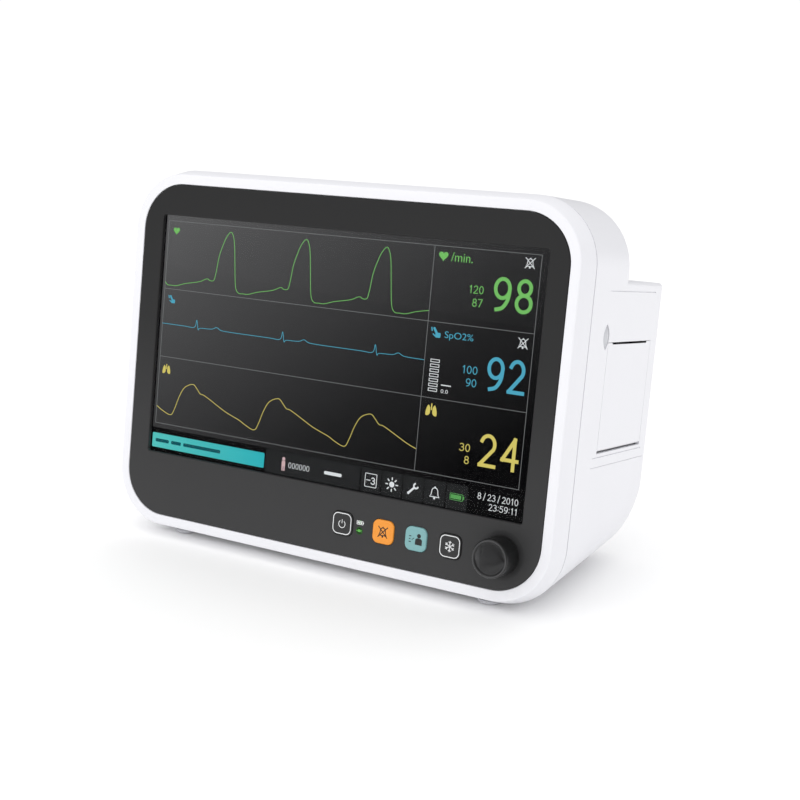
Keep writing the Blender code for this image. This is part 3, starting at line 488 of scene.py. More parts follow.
def board_surface():
    """Green solder resist with paler copper runs and specks of solder."""
    surface = Surface("circuit board", 0.35)
    bricks = surface.add("ShaderNodeTexBrick", offset=0.5)
    bricks.inputs["Scale"].default_value = 160.0
    bricks.inputs["Mortar Size"].default_value = 0.06
    bricks.inputs["Color1"].default_value = (0.012, 0.11, 0.045, 1)
    bricks.inputs["Color2"].default_value = (0.016, 0.13, 0.055, 1)
    bricks.inputs["Mortar"].default_value = (0.05, 0.24, 0.10, 1)
    turn = surface.add("ShaderNodeMapping")
    turn.inputs["Rotation"].default_value = (math.pi / 2, 0, 0)
    surface.link(surface.where, turn.inputs["Vector"])
    surface.link(turn.outputs["Vector"], bricks.inputs["Vector"])
    specks = surface.ramp(surface.noise(700.0, 0.0), ((0.66, 0.0), (0.7, 1.0)))
    surface.paint(surface.mix(specks, bricks.outputs["Color"], (0.5, 0.5, 0.48)))
    surface.bump(bricks.outputs["Fac"], 0.05)
    return surface


def rubber_surface(name, colour):
    surface = moulded(name, colour, 0.72, 0.12, 1500.0, 0.03)
    surface.set("Sheen Weight", 0.08)
    return surface


def paper_surface():
    surface = Surface("chart paper", 0.78)
    fibres = surface.noise(500.0, 4.0, (1.0, 0.25, 1.0))
    surface.paint(surface.mix(fibres, (0.84, 0.84, 0.81), (0.95, 0.95, 0.92)))
    layers = surface.noise(3000.0, 0.0, (0.02, 1.0, 0.02))
    surface.bump(layers, 0.02)
    return surface


MATERIALS = {
    "white": moulded("white plastic", (0.80, 0.80, 0.835), 0.36, 0.02, 2400.0, 0.006),
    "charcoal": moulded("charcoal plastic", (0.019, 0.019, 0.0195), 0.46, 0.08, 3000.0, 0.012, 0.25),
    "panel": panel_surface(),
    # The knob rim's paler plastic and the knob's lightened edges are a painted highlight along the rim.
    "knob": moulded("knob plastic", (0.007, 0.0072, 0.0075), 0.34, 0.08, 2600.0, 0.008, 0.32),
    "knob rim highlight": moulded("knob rim highlight plastic", (0.045, 0.045, 0.047), 0.3, 0.08, 2600.0, 0.008, 0.5),
    "black": moulded("black plastic", (0.012, 0.012, 0.013), 0.42, 0.1, 2200.0, 0.01, 0.2),
    "slate": moulded("slate plastic", (0.15, 0.15, 0.16), 0.5, 0.08, 2200.0, 0.01),
    "dark": moulded("dark plastic", (0.03, 0.03, 0.032), 0.55, 0.1, 2200.0, 0.01),
    "grey": moulded("grey plastic", (0.42, 0.43, 0.45), 0.42, 0.04, 2400.0, 0.01, 0.2),
    "button": moulded("button plastic", (0.56, 0.57, 0.6), 0.34, 0.03, 2600.0, 0.005),
    "orange": moulded("orange key", srgb(236, 148, 44), 0.4, 0.04, 2600.0, 0.006),
    "teal": moulded("teal key", srgb(122, 170, 172), 0.4, 0.04, 2600.0, 0.006),
    "green": moulded("green socket", (0.05, 0.30, 0.13), 0.42, 0.06, 2400.0, 0.01, 0.2),
    "blue": moulded("blue socket", (0.05, 0.16, 0.48), 0.42, 0.06, 2400.0, 0.01, 0.2),
    "red": moulded("red socket", (0.48, 0.04, 0.035), 0.42, 0.06, 2400.0, 0.01, 0.2),
    "mark": moulded("printed white", (0.8, 0.81, 0.82), 0.5, 0.03, 3000.0, 0.004),
    "ink": moulded("printed black", (0.012, 0.012, 0.012), 0.5, 0.05, 3000.0, 0.004),
    "rubber": rubber_surface("rubber", (0.028, 0.028, 0.03)),
    "seal": rubber_surface("seal", (0.22, 0.225, 0.235)),
    "steel": metal("zinc plated steel", (0.60, 0.61, 0.63), 0.32),
    "brass": metal("brass", (0.74, 0.55, 0.26), 0.34),
    "aluminium": metal("aluminium", (0.76, 0.77, 0.79), 0.36, (24.0, 1.0, 1.0)),
    "board": board_surface(),
    "paper": paper_surface(),
    "glass": glass_surface(),
    "image": display_surface(),
    "lit banner": banner_surface(),
    "foot": rubber_surface("pale foot rubber", (0.55, 0.55, 0.58)),
}
LIT_COLOURS = {
    "lit green": (116, 190, 100),
    "lit blue": (78, 166, 192),
    "lit yellow": (212, 198, 104),
    "lit white": (222, 226, 228),
    "lit grey": (122, 124, 125),
    "lit banner text": (18, 84, 92),
    "lit lamp": (58, 128, 52),
    "lit glow": (44, 84, 40),
    "lit sign": (104, 186, 88),
    "lit pink": (206, 176, 178),
    "lit charge": (88, 160, 86),
    "status cell": (34, 35, 36),
    "unlit strip": (8, 8, 9),
}
MATERIALS.update({name: lit(name, srgb(*levels)) for name, levels in LIT_COLOURS.items()})


# ---- pieces ----
def piece(name, thing, look, slot, body="monitor", replaces=(), crease=32):
    """Name a finished piece, put it on the frame, hang it on its body, and hide the CAD nodes it stands for.
    """
    thing.name = thing.data.name = name
    thing.data.materials.clear()
    thing.data.materials.append(MATERIALS[look].material)
    thing.data.shade_smooth()
    thing.data.set_sharp_from_angle(angle=math.radians(crease))
    thing.data.transform(PLACE)
    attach(thing, body)
    if replaces:
        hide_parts(*replaces)
    return thing


def dress(look, *nodes):
    """A better material for CAD nodes whose shape is right."""
    for node in nodes:
        for slot in frame["nodes"][node].material_slots:
            slot.material = MATERIALS[look].material


def bow(centre, radii, start, end, steps=10):
    """An arc of an ellipse, with its angles in degrees."""
    points = arc((0, 0), 1.0, start, end, steps)
    return [(centre[0] + u * radii[0], centre[1] + v * radii[1]) for u, v in points]


# ---- figures, in a box one wide and one high ----
FIGURES = {
    "0": [bow((0.5, 0.5), (0.5, 0.5), 0, 360, 20)],
    "1": [[(0.2, 0.8), (0.62, 1.0)], [(0.62, 1.0), (0.62, 0.0)]],
    "2": [bow((0.48, 0.71), (0.46, 0.29), 160, -32, 12) + [(0.02, 0.02)], [(0.0, 0.0), (1.0, 0.0)]],
    "3": [bow((0.42, 0.76), (0.46, 0.24), 145, -80, 10), bow((0.42, 0.27), (0.56, 0.27), 88, -150, 12)],
    "4": [[(0.76, 0.0), (0.76, 1.0)], [(0.76, 1.0), (0.0, 0.3)], [(0.0, 0.3), (1.0, 0.3)]],
    "5": [[(0.92, 1.0), (0.14, 1.0)], [(0.14, 1.0), (0.1, 0.56)],
          bow((0.42, 0.32), (0.56, 0.32), 118, -150, 12)],
    "6": [bow((0.5, 0.31), (0.5, 0.31), 0, 360, 18),
          eased([(0.0, 0.31), (0.08, 0.65), (0.4, 0.92), (0.82, 1.0)], 4)],
    "7": [[(0.0, 1.0), (1.0, 1.0)], [(1.0, 1.0), (0.3, 0.0)]],
    "8": [bow((0.5, 0.765), (0.42, 0.235), 0, 360, 18), bow((0.5, 0.265), (0.5, 0.265), 0, 360, 18)],
    "9": [bow((0.5, 0.69), (0.5, 0.31), 0, 360, 18),
          eased([(1.0, 0.69), (0.92, 0.35), (0.6, 0.08), (0.18, 0.0)], 4)],
    "/": [[(0.0, -0.1), (1.0, 1.1)]],
    ":": [[(0.5, 0.2), (0.5, 0.24)], [(0.5, 0.76), (0.5, 0.8)]],
    ".": [[(0.5, 0.0), (0.5, 0.04)]],
    " ": [],
}
FIGURE_WIDTHS = {"1": 0.8, "/": 0.6, ":": 0.3, ".": 0.3, " ": 0.15}
FIGURE_GAP = 0.24


class Drawing:
    """Thin flat shapes on one plane, gathered into one piece."""

    def __init__(self, base, top, place=along_y()):
        self.mesh = bmesh.new()
        self.base, self.top, self.place = base, top, place

    def rings(self, outline, heights):
        return [[self.place(u, v, t) for u, v in outline] for t in heights]

    def area(self, outline):
        skin(self.mesh, self.rings(outline, (self.base, self.top)))

    def frame(self, outer, inner):
        outside = self.rings(outer, (self.base, self.top))
        inside = self.rings(inner, (self.top, self.base))
        skin(self.mesh, outside + inside, capped=False)

    def bar(self, u_range, v_range):
        self.area([(u_range[i], v_range[j]) for i, j in ((0, 0), (1, 0), (1, 1), (0, 1))])

    def line(self, points, width):
        """A stroke of even width through the points."""
        left, right = [], []
        for i, (u, v) in enumerate(points):
            before, after = points[max(i - 1, 0)], points[min(i + 1, len(points) - 1)]
            du, dv = after[0] - before[0], after[1] - before[1]
            length = math.hypot(du, dv)
            nu, nv = -dv / length * width / 2, du / length * width / 2
            left.append((u + nu, v + nv))
            right.append((u - nu, v - nv))
        for i in range(len(points) - 1):
            self.area([left[i], left[i + 1], right[i + 1], right[i]])

    def number(self, words, u_range, v_range, stroke):
        """Figures drawn with one even stroke, spread over a box."""
        widths = [FIGURE_WIDTHS.get(figure, 1.0) for figure in words]
        pitch = (u_range[1] - u_range[0]) / (sum(widths) + FIGURE_GAP * (len(words) - 1))
        u, height = u_range[0] + stroke / 2, v_range[1] - v_range[0] - stroke
        for figure, width in zip(words, widths):
            for line in FIGURES[figure]:
                points = [(u + a * max(width * pitch - stroke, 0.01), v_range[0] + stroke / 2 + b * height)
                          for a, b in line]
                self.line(capped(points, stroke / 2), stroke)
            u += (width + FIGURE_GAP) * pitch

    def text(self, words, u_range, v_range, weight=0.0):
        """Digits or a unit, stretched to fill a box."""
        curve = bpy.data.curves.new("words", "FONT")
        curve.body, curve.offset = words, weight
        writing = bpy.data.objects.new("words", curve)
        bpy.context.collection.objects.link(writing)
        bpy.context.view_layer.update()
        data = bpy.data.meshes.new_from_object(writing.evaluated_get(bpy.context.evaluated_depsgraph_get()))
        us, vs = [v.co.x for v in data.vertices], [v.co.y for v in data.vertices]
        scale_u = (u_range[1] - u_range[0]) / (max(us) - min(us))
        scale_v = (v_range[1] - v_range[0]) / (max(vs) - min(vs))
        for vertex in data.vertices:
            u = u_range[0] + (vertex.co.x - min(us)) * scale_u
            v = v_range[0] + (vertex.co.y - min(vs)) * scale_v
            vertex.co = Vector(self.place(u, v, self.top)) * MM
        letters = bmesh.new()
        letters.from_mesh(data)
        solid = bmesh.ops.extrude_face_region(letters, geom=letters.faces[:])
        shift = Vector(self.place(0, 0, self.base)) - Vector(self.place(0, 0, self.top))
        moved = [item for item in solid["geom"] if isinstance(item, bmesh.types.BMVert)]
        bmesh.ops.translate(letters, vec=shift * MM, verts=moved)
        spare = bpy.data.meshes.new("words")
        letters.to_mesh(spare)
        letters.free()
        self.mesh.from_mesh(spare)
        bpy.data.objects.remove(writing)

    def finish(self, name, look, slot, **how):
        return piece(name, thing_of(self.mesh), look, slot, **how)


def capped(points, reach):
    """The line with both ends run on by a reach, unless it closes on itself."""
    if math.dist(points[0], points[-1]) < reach / 10:
        return points
    ends = []
    for end, inner in ((points[0], points[1]), (points[-1], points[-2])):
        share = reach / math.dist(end, inner)
        ends.append((end[0] + (end[0] - inner[0]) * share, end[1] + (end[1] - inner[1]) * share))
    return [ends[0]] + points + [ends[1]]


# ---- signs, drawn about a centre (u, v) at a size ----
def heart(at, size):
    points = []
    for i in range(28):
        t = 2 * math.pi * i / 28
        u = 16 * math.sin(t) ** 3
        v = 13 * math.cos(t) - 5 * math.cos(2 * t) - 2 * math.cos(3 * t) - math.cos(4 * t)
        points.append((at[0] + u * size / 32, at[1] + v * size / 32))
    return points


def bell_outline(at, size):
    half = size / 2
    dome = arc((0, 0.25), 0.52, 165, 15, 10)
    flare = [(0.55, 0.0), (0.62, -0.35), (0.85, -0.62), (-0.85, -0.62), (-0.62, -0.35), (-0.55, 0.0)]
    return [(at[0] + u * half, at[1] + v * half) for u, v in dome + flare]


def draw_bell(drawing, at, size, width, crossed=False):
    outline = bell_outline(at, size)
    drawing.line(outline + outline[:2], width)
    drawing.area(circle(size * 0.09, 10, (at[0], at[1] - size * 0.42)))
    drawing.area(circle(size * 0.07, 10, (at[0], at[1] + size * 0.43)))
    if crossed:
        reach = size * 0.5
        for side in (-1, 1):
            rise = side * reach
            drawing.line([(at[0] - reach, at[1] - rise), (at[0] + reach, at[1] + rise)], width)


def draw_lungs(drawing, at, size):
    u, v = at
    drawing.bar((u - size * 0.05, u + size * 0.05), (v, v + size * 0.55))
    for side in (-1, 1):
        lobe = [(0.12, 0.2), (0.3, 0.42), (0.48, 0.05), (0.52, -0.42), (0.3, -0.45), (0.12, -0.25)]
        drawing.area([(u + side * a * size, v + b * size) for a, b in eased(lobe + lobe[:1], 4)[:-1]])


def draw_finger(drawing, at, size):
    """A hand's pointing finger in a clip."""
    u, v = at
    tip = (u - size * 0.2, v + size * 0.32)
    root = (u + size * 0.08, v - size * 0.1)
    drawing.line([tip, root], size * 0.2)
    drawing.area(circle(size * 0.1, 10, tip))
    drawing.area(square((u + size * 0.18, v - size * 0.22), (size * 0.24, size * 0.2), size * 0.08, 3))
    drawing.line([(u - size * 0.46, v + size * 0.4), (u - size * 0.38, v + size * 0.08)], size * 0.1)
    drawing.line([(u - size * 0.3, v - size * 0.14), (u - size * 0.02, v - size * 0.34)], size * 0.1)


def draw_person(drawing, at, size):
    u, v = at
    drawing.area(circle(size * 0.13, 14, (u, v + size * 0.36)))
    drawing.area(square((u, v + size * 0.02), (size * 0.15, size * 0.2), size * 0.06, 3))
    for side in (-1, 1):
        drawing.bar((u + side * size * 0.08 - size * 0.055, u + side * size * 0.08 + size * 0.055),
                    (v - size * 0.5, v - size * 0.1))


def draw_power(drawing, at, size, width):
    drawing.line(arc(at, size / 2, 125, 415, 28), width)
    drawing.bar((at[0] - width / 2, at[0] + width / 2), (at[1] + size * 0.1, at[1] + size * 0.62))


def draw_snowflake(drawing, at, size, width):
    for arm in range(6):
        angle = math.pi / 6 + arm * math.pi / 3
        direction = Vector((math.cos(angle), math.sin(angle)))
        across = Vector((-direction.y, direction.x))
        centre = Vector(at)
        drawing.line([tuple(centre), tuple(centre + direction * size / 2)], width)
        fork = centre + direction * size * 0.28
        for side in (-1, 1):
            end = fork + direction * size * 0.14 + across * side * size * 0.13
            drawing.line([tuple(fork), tuple(end)], width * 0.85)


def draw_sun(drawing, at, size):
    drawing.area(circle(size * 0.2, 18, at))
    for ray in range(8):
        angle = ray * math.pi / 4
        ends = [(at[0] + math.cos(angle) * size * r, at[1] + math.sin(angle) * size * r) for r in (0.3, 0.5)]
        drawing.line(ends, size * 0.08)


def draw_wrench(drawing, at, size):
    u, v = at
    drawing.line([(u - size * 0.38, v - size * 0.38), (u + size * 0.14, v + size * 0.14)], size * 0.16)
    drawing.line(arc((u + size * 0.24, v + size * 0.24), size * 0.19, 100, 350, 12), size * 0.13)
    drawing.area(circle(size * 0.11, 10, (u - size * 0.38, v - size * 0.38)))


# ---- housing ----
def underside(y, inset=0.0):
    """The sloping floor's height at a depth; it is level when the monitor stands."""
    return -RING_FLARE + (y - CASE_Y) * math.tan(LEAN) + inset / math.cos(LEAN)


def drawn_in(depths, back, fillet, inset, steps=8):
    """Each ring's depth, with the back fillet's own last, and how far the fillet draws it in."""
    for y in depths + [back - fillet + fillet * math.sin(math.pi / 2 * i / steps) for i in range(steps + 1)]:
        over = max(0.0, y - back + fillet)
        yield y, inset + fillet - math.sqrt(max(0.0, fillet ** 2 - over ** 2))


def lower_box(inset, front):
    back, heel, fillet = BACK_Y - inset, HEEL_R - inset, BACK_FILLET - inset
    heel_y = BACK_Y - HEEL_R
    heel_z = underside(heel_y) + HEEL_R / math.cos(LEAN)
    heel_start, heel_end = heel_y + heel * math.sin(LEAN), back - fillet
    depths = [front, heel_start] + [heel_start + (heel_end - heel_start) * i / 5 for i in range(1, 5)]
    rings = []
    for y, shrink in drawn_in(depths, back, fillet, inset):
        if y <= heel_start:
            low = underside(y, inset)
        else:
            low = heel_z - math.sqrt(max(0.0, heel ** 2 - (y - heel_y) ** 2))
        half, bottom_r, top_r = CASE_X - shrink, CASE_R - shrink, max(STEP_R - inset, 1.0)
        rings.append((rounded((-half, half), (low, STEP_Z - shrink), (bottom_r, bottom_r, top_r, top_r)), y))
    return faced(rings)


def shoulder(inset, front):
    rings = []
    for y, shrink in drawn_in([front], SHOULDER_Y - inset, SHOULDER_FILLET - inset, inset):
        half, top_r = CASE_X - shrink, CASE_R - shrink
        rings.append((rounded((-half, half), (SHOULDER_FLOOR, CASE_TOP - shrink), (2, 2, top_r, top_r)), y))
    return faced(rings)


def around(node, grow, axis, low, high):
    """A cutter round a CAD node's box, grown by a clearance, running low to high along an axis."""
    lowest, highest = extent(node)
    spans = [(lowest[i] - grow, highest[i] + grow) for i in range(3)]
    spans[axis] = (low, high)
    return block(*spans)


def housing():
    shell = join(lower_box(0, CASE_Y), shoulder(0, CASE_Y))
    cut(shell, join(lower_box(WALL, CASE_Y - 5), shoulder(WALL, CASE_Y - 5)))
    pad = middle("battery_door").x, (extent("mount_insert_1")[0].z + extent("mount_insert_2")[1].z) / 2
    join(shell, prism(square(pad, PAD_SIZE / 2, 6.0), along_y(), BACK_Y - 1, BACK_Y + PAD_PROUD))
    inside, outside = BACK_Y - 2 * WALL, BACK_Y + WALL
    for number in range(1, 5):
        at = middle(f"mount_insert_{number}")
        cut(shell, rod(3.7, along_y(at.x, at.z), inside - 4, outside))
        low, high = extent(f"housing_screw_{number}")
        at, back = (low + high) / 2, high.y
        cut(shell, rod(3.8, along_y(at.x, at.z), back - 5, back + 5))
    side = (CASE_X - 2 * WALL, CASE_X + WALL)
    door_low, door_high = extent("recorder_door")
    cut(shell, block(side, (door_low.y - GAP, door_high.y + GAP), (door_low.z - 1.0, door_high.z + GAP)))
    low, high = extent("recorder_door_pin")
    pin = (low + high) / 2
    cut(shell, rod(PIN_BORE_R, along_y(pin.x, pin.z), low.y - 0.5, high.y + 0.5))
    button = middle("release_button")
    cut(shell, prism(lens(RELEASE_HALF[0] + 0.35, RELEASE_HALF[1] + 1.0),
                     along_x(button.y, button.z), *side))
    cut(shell, around("connector_panel", GAP, 0, -CASE_X - WALL, -CASE_X + 3 * WALL))
    low, high = extent("battery_door")
    cut(shell, block((low.x - GAP, high.x + GAP), (inside, outside), (low.z - 0.5, high.z + GAP)))
    pin = middle("battery_door_pin")
    half = extent("battery_door_pin")[1].x + 0.5
    cut(shell, rod(PIN_BORE_R, along_x(pin.y, pin.z), -half, half))
    for node in ("mains_inlet", "network_socket", "data_socket"):
        cut(shell, around(node, GAP, 1, inside, outside))
    stud = middle("earth_stud")
    cut(shell, rod(3.3, along_y(stud.x, stud.z), inside, outside))
    for slot in range(VENTS):
        x = VENT_X + slot * VENT_PITCH
        outline = rounded((x, x + VENT_W), VENT_Z, VENT_W / 2 - 0.01, 6)
        cut(shell, prism(outline, along_y(), inside, outside))
    for y0, y1, z, width in GROOVES:
        cut(shell, block((CASE_X - 0.5, CASE_X + 1), (y0, y1), (z - width / 2, z + width / 2)))
    for number in range(1, 5):
        low, high = extent(f"foot_{number}")
        at = (low + high) / 2
        stem = rod(3.0, upright(at.x, at.y * math.cos(LEAN) + at.z * math.sin(LEAN)), -40, 25)
        cut(shell, stem)
    return soften(piece("housing_shell", shell, "white", "white_plastic", replaces=("rear_housing",)), 0.3)


def face_ring():
    """The white ring round the panel, its front edge rolled into the flared band."""
    inner = RING_FLARE - RING_WALL
    roll = [(RING_FLAT + 1.1 * math.sin(a), 0.75 * (1 - math.cos(a)))
            for a in (math.pi / 2.6 * i / 6 for i in range(7))]
    section = [(GAP, 2.7), (GAP, 0.45), (GAP + 0.15, 0.15), (GAP + 0.5, 0.0)] + roll
    section += [(RING_FLARE - 0.08, RING_DEPTH - 0.5), (RING_FLARE, RING_DEPTH - 0.2),
                (RING_FLARE - 0.3, RING_DEPTH), (inner, RING_DEPTH), (inner - RING_WALL, 5.2),
                (-3.6, 4.9), (-3.6, 2.7)]
    ring = faced([(face_outline(outset), y) for outset, y in section], capped=False)
    piece("face_ring", ring, "white", "white_plastic", replaces=("front_frame",), crease=40)
    dress("seal", "frame_seal")


def face_panel():
    edge = [(-0.45, 0.0), (-0.2, 0.08), (-0.05, 0.25), (0.0, 0.5), (0.0, PANEL_T)]
    panel = faced([(face_outline(outset), y) for outset, y in edge])
    knob = middle("encoder_knob")
    at = along_y(knob.x, knob.z)
    join(panel, rod(DISH_BOSS_R, at, PANEL_T - 1, PANEL_T + DISH_DEPTH))
    window = [rounded((WINDOW_X[0] - o, WINDOW_X[1] + o), (WINDOW_Z[0] - o, WINDOW_Z[1] + o), 1.5 + o, 6)
              for o in (0.9, 0.55, 0.15, 0.0, 0.0)]
    depths = (-0.5, 0.05, 0.3, 0.8, PANEL_T + 1)
    cut(panel, faced(zip(window, depths)))
    for key in ("power_key", "alarm_key", "patient_key", "freeze_key"):
        centre = middle(key)
        opening = square((centre.x, centre.z), KEY_HALF + GAP, KEY_R + GAP)
        cut(panel, prism(opening, along_y(), -1, PANEL_T + 1))
    for light in ("mains_light", "battery_light"):
        centre = middle(light)
        cut(panel, rod(LIGHT_R + GAP, along_y(centre.x, centre.z), -1, PANEL_T + 1, 20))
    dish = [(DISH_R + 0.6, -1.0), (DISH_R + 0.6, -0.01), (DISH_R + 0.15, 0.12)]
    dish += [(DISH_R * math.sqrt(1 - i / 12), DISH_DEPTH * i / 12) for i in range(1, 11)]
    cut(panel, turned(dish + [(3.0, DISH_DEPTH)], at, 64), turned([(3.4, -1), (3.4, 9)], at))
    soften(piece("face_panel", panel, "panel", "charcoal_plastic", replaces=("front_bezel",)), 0.2)


# ---- screen ----
def screen():
    low, high = extent("screen_glass")
    outline = rounded((low.x, high.x), (low.z, high.z), 2.0, 6)
    piece("cover_glass", prism(outline, along_y(), low.y, high.y), "glass", "cover_glass",
          replaces=("screen_glass",))
    low, high = extent("lcd_panel")
    body = block((low.x, high.x), (low.y, high.y), (low.z, high.z))
    soften(piece("display_body", body, "dark", "black_plastic", replaces=("lcd_panel",)), 0.5)
    image = Drawing(low.y + 0.1, low.y - 0.05)
    image.bar((low.x + 0.6, high.x - 0.6), (low.z + 0.6, high.z - 0.6))
    image.finish("display_image", "image", "black_plastic")
    return low.y


def grid_lines(front):
    lines = Drawing(front, front - 0.1, picture)
    half = 0.15
    left, right = GRID_X[0], GRID_X[-1]
    for z in GRID_Z:
        lines.bar((left - half, right + half), (z - half, z + half))
    for x in GRID_X:
        lines.bar((x - half, x + half), (GRID_Z[0], GRID_Z[-1]))
    lines.finish("display_grid", "lit grey", "black_plastic")


def repeated(shape, start, period, last):
    """A beat of (offset, height) points, repeated until it is past last."""
    points = []
    while start < last + period:
        points += [(start + offset, height) for offset, height in shape]
        start += period
    return points


def clipped(line, first, last):
    """The part of a line that runs from first to last across."""
    kept = []
    for (u0, v0), (u1, v1) in zip(line, line[1:]):
        for edge in (first, last):
            if u0 < edge < u1:
                kept.append((edge, v0 + (v1 - v0) * (edge - u0) / (u1 - u0)))
        if first <= u1 <= last:
            kept.append((u1, v1))
    return kept


def waves(front):
    """One beat of each trace, and where it repeats along the screen."""
    left, right = GRID_X[0], GRID_X[1] - 0.2
    pulse = [(0, 149.9), (4, 150.0), (11, 152), (22, 154.2), (28, 156.6), (30.5, 155.7), (33.5, 156.2),
             (34.8, 161), (36.3, 171), (38.5, 178), (41, 183.8), (44, 187.2), (46, 185.4), (47.6, 180),
             (48.8, 170), (50, 159), (51.2, 152.6), (53.5, 150)]
    breath = [(0, 70.8), (5, 68.4), (12, 66.4), (15, 71), (18, 79), (22, 85.6), (28.5, 88.4), (32, 85.9),
              (35, 83), (38, 82.6), (46, 79), (56, 74.4)]
    beat = [(0, 124.9), (18, 124.9), (26.3, 125), (27.8, 129.8), (29.4, 123.8), (31, 124.9), (40, 125.3),
            (44, 126.7), (48, 125.2), (58, 124.9)]
    traces = (("trace_pulse", pulse, -181.5, 57.0, 0.36, "lit green"),
              ("trace_oxygen", beat, -196.9, 66.9, 0.34, "lit blue"),
              ("trace_breath", breath, -197.0, 67.0, 0.36, "lit yellow"))
    for name, shape, start, period, width, look in traces:
        trace = Drawing(front, front - 0.15, picture)
        line = eased(repeated(shape, start, period, right), 5)
        trace.line(clipped(line, left, right), width)
        trace.finish(name, look, "black_plastic")


def readouts(front):
    """The numbers, units and signs beside each trace."""
    base, top = front, front - 0.15
    green, blue, yellow, white = (Drawing(base, top, picture) for _ in range(4))
    green.area(heart((71.7, 185.5), 6.0))
    green.area(heart((-123.5, 185.0), 5.0))
    green.text("/min.", (76.8, 90.6), (182.8, 188.0), -0.006)
    green.number("98", (105.5, 130.2), (157.5, 177.0), 2.15)
    green.number("120", (90.0, 99.2), (166.0, 170.6), 0.46)
    green.number("87", (92.8, 99.2), (158.6, 163.2), 0.46)
    draw_finger(blue, (71.5, 141.5), 7.0)
    draw_finger(blue, (-123.5, 141.0), 6.0)
    blue.text("SpO2%", (77.2, 95.7), (137.8, 142.8), -0.006)
    blue.number("92", (106.3, 130.4), (112.5, 132.0), 2.15)
    blue.number("100", (90.4, 100.2), (120.4, 125.0), 0.46)
    blue.number("90", (93.6, 100.2), (113.2, 117.8), 0.46)
    draw_lungs(yellow, (73.0, 96.5), 7.0)
    draw_lungs(yellow, (-124.0, 95.5), 6.0)
    yellow.number("24", (106.0, 131.2), (69.0, 88.2), 2.1)
    yellow.number("30", (93.6, 100.2), (76.0, 80.6), 0.46)
    yellow.number("8", (97.2, 100.2), (69.0, 73.6), 0.46)
    for at in ((126.2, 186.0), (126.7, 141.5)):
        draw_bell(white, at, 6.0, 0.4, crossed=True)
    for bar in range(7):
        z = 107.4 + bar * 2.8
        outer = [(69.5, z), (75.5, z), (75.5, z + 1.9), (69.5, z + 1.9)]
        inner = [(69.9, z + 0.4), (75.1, z + 0.4), (75.1, z + 1.5), (69.9, z + 1.5)]
        white.frame(outer, inner)
    white.number("0.0", (78.0, 82.6), (107.2, 109.4), 0.3)
    white.bar((77.8, 84.3), (111.5, 112.1))
    green.finish("readout_pulse", "lit green", "black_plastic")
    blue.finish("readout_oxygen", "lit blue", "black_plastic")
    yellow.finish("readout_breath", "lit yellow", "black_plastic")
    white.finish("readout_marks", "lit white", "black_plastic")


def status_bar(front):
    """The banner, the patient sign, the tool cells, and the date and time."""
    strip = Drawing(front, front - 0.08, picture)
    strip.bar((WINDOW_X[0] + 1.4, WINDOW_X[1] + 2.0), (WINDOW_Z[0] - 1, 56.8))
    strip.finish("status_strip", "unlit strip", "black_plastic")
    cells = Drawing(front, front - 0.12, picture)
    for x0, x1 in zip(CELLS_X, CELLS_X[1:]):
        cells.area(rounded((x0 + 0.35, x1 - 0.35), (41.6, 56.3), 0.8, 3))
    cells.bar((-40.5, CELLS_X[0] - 0.6), (41.6, 56.3))
    cells.finish("status_cells", "status cell", "black_plastic")
    banner = Drawing(front, front - 0.14, picture)
    banner.area(rounded(BANNER_X, BANNER_Z, 0.8, 3))
    banner.finish("status_banner", "lit banner", "black_plastic")
    words = Drawing(front, front - 0.18, picture)
    for start, length in ((-128.8, 11.0), (-115.8, 8.0), (-105.8, 30.0)):
        words.area(rounded((start, start + length), (47.4, 49.6), 0.6, 3))
    words.finish("status_banner_marks", "lit banner text", "black_plastic")
    white, green = Drawing(front, front - 0.18, picture), Drawing(front, front - 0.18, picture)
    pink = Drawing(front, front - 0.18, picture)
    draw_person(pink, (-26.8, 48.8), 8.6)
    pink.finish("status_person", "lit pink", "black_plastic")
    white.number("000000", (-23.0, -7.5), (46.8, 50.4), 0.32)
    white.area(rounded((3.5, 16.0), (47.4, 49.4), 0.6, 3))
    at = 49.0
    white.frame(square((36.7, at), 4.2, 0.6, 2), square((36.7, at), 3.8, 0.4, 2))
    white.number("3", (37.0, 39.8), (46.6, 51.0), 0.6)
    white.line([(33.6, at), (36.4, at)], 0.5)
    draw_sun(white, (51.3, at), 8.6)
    draw_wrench(white, (65.8, at), 7.6)
    draw_bell(white, (80.3, at), 7.6, 0.5)
    white.number("8 / 23 / 2010", (108.0, 133.6), (50.4, 54.2), 0.34)
    white.number("23:59:11", (115.6, 133.6), (45.0, 48.8), 0.34)
    white.finish("status_signs", "lit white", "black_plastic")
    green.frame(square((94.6, at), (4.3, 2.0), 0.6, 3), square((94.6, at), (4.0, 1.7), 0.5, 3))
    green.area(square((94.3, at), (3.4, 1.2), 0.3, 3))
    green.bar((98.9, 99.6), (at - 0.9, at + 0.9))
    green.finish("status_battery", "lit charge", "black_plastic")


# ---- keys, lights and knob ----
def key_cap(name, look, slot):
    """A cap with a crowned face and round edges, its flange and its stem."""
    low, high = extent(name)
    centre = (low + high) / 2
    place = along_y(centre.x, centre.z)
    face = [(1.5, 0.0), (0.7, 0.04), (0.35, 0.14), (0.1, 0.35), (0.0, 0.65), (0.0, 2.9 - low.y)]
    rings = []
    for inset, back in face:
        outline = square((0, 0), KEY_HALF - inset, max(KEY_R - inset, 0.5), 10)
        rings.append([place(u, v, low.y + back) for u, v in outline])
    cap = loft(rings)
    flange = prism(square((0, 0), KEY_HALF + 1.1, KEY_R, 8), place, 2.7, 3.7)
    stem = turned([(2.0, 3.0), (2.0, high.y - 0.2), (1.8, high.y)], place, 24)
    piece(name + "_cap", join(cap, flange, stem), look, slot, body=name, replaces=(name,))
    return (centre.x, centre.z), low.y


def power_sign(marks, at):
    draw_power(marks, (at[0], at[1] - 0.3), 4.5, 0.42)


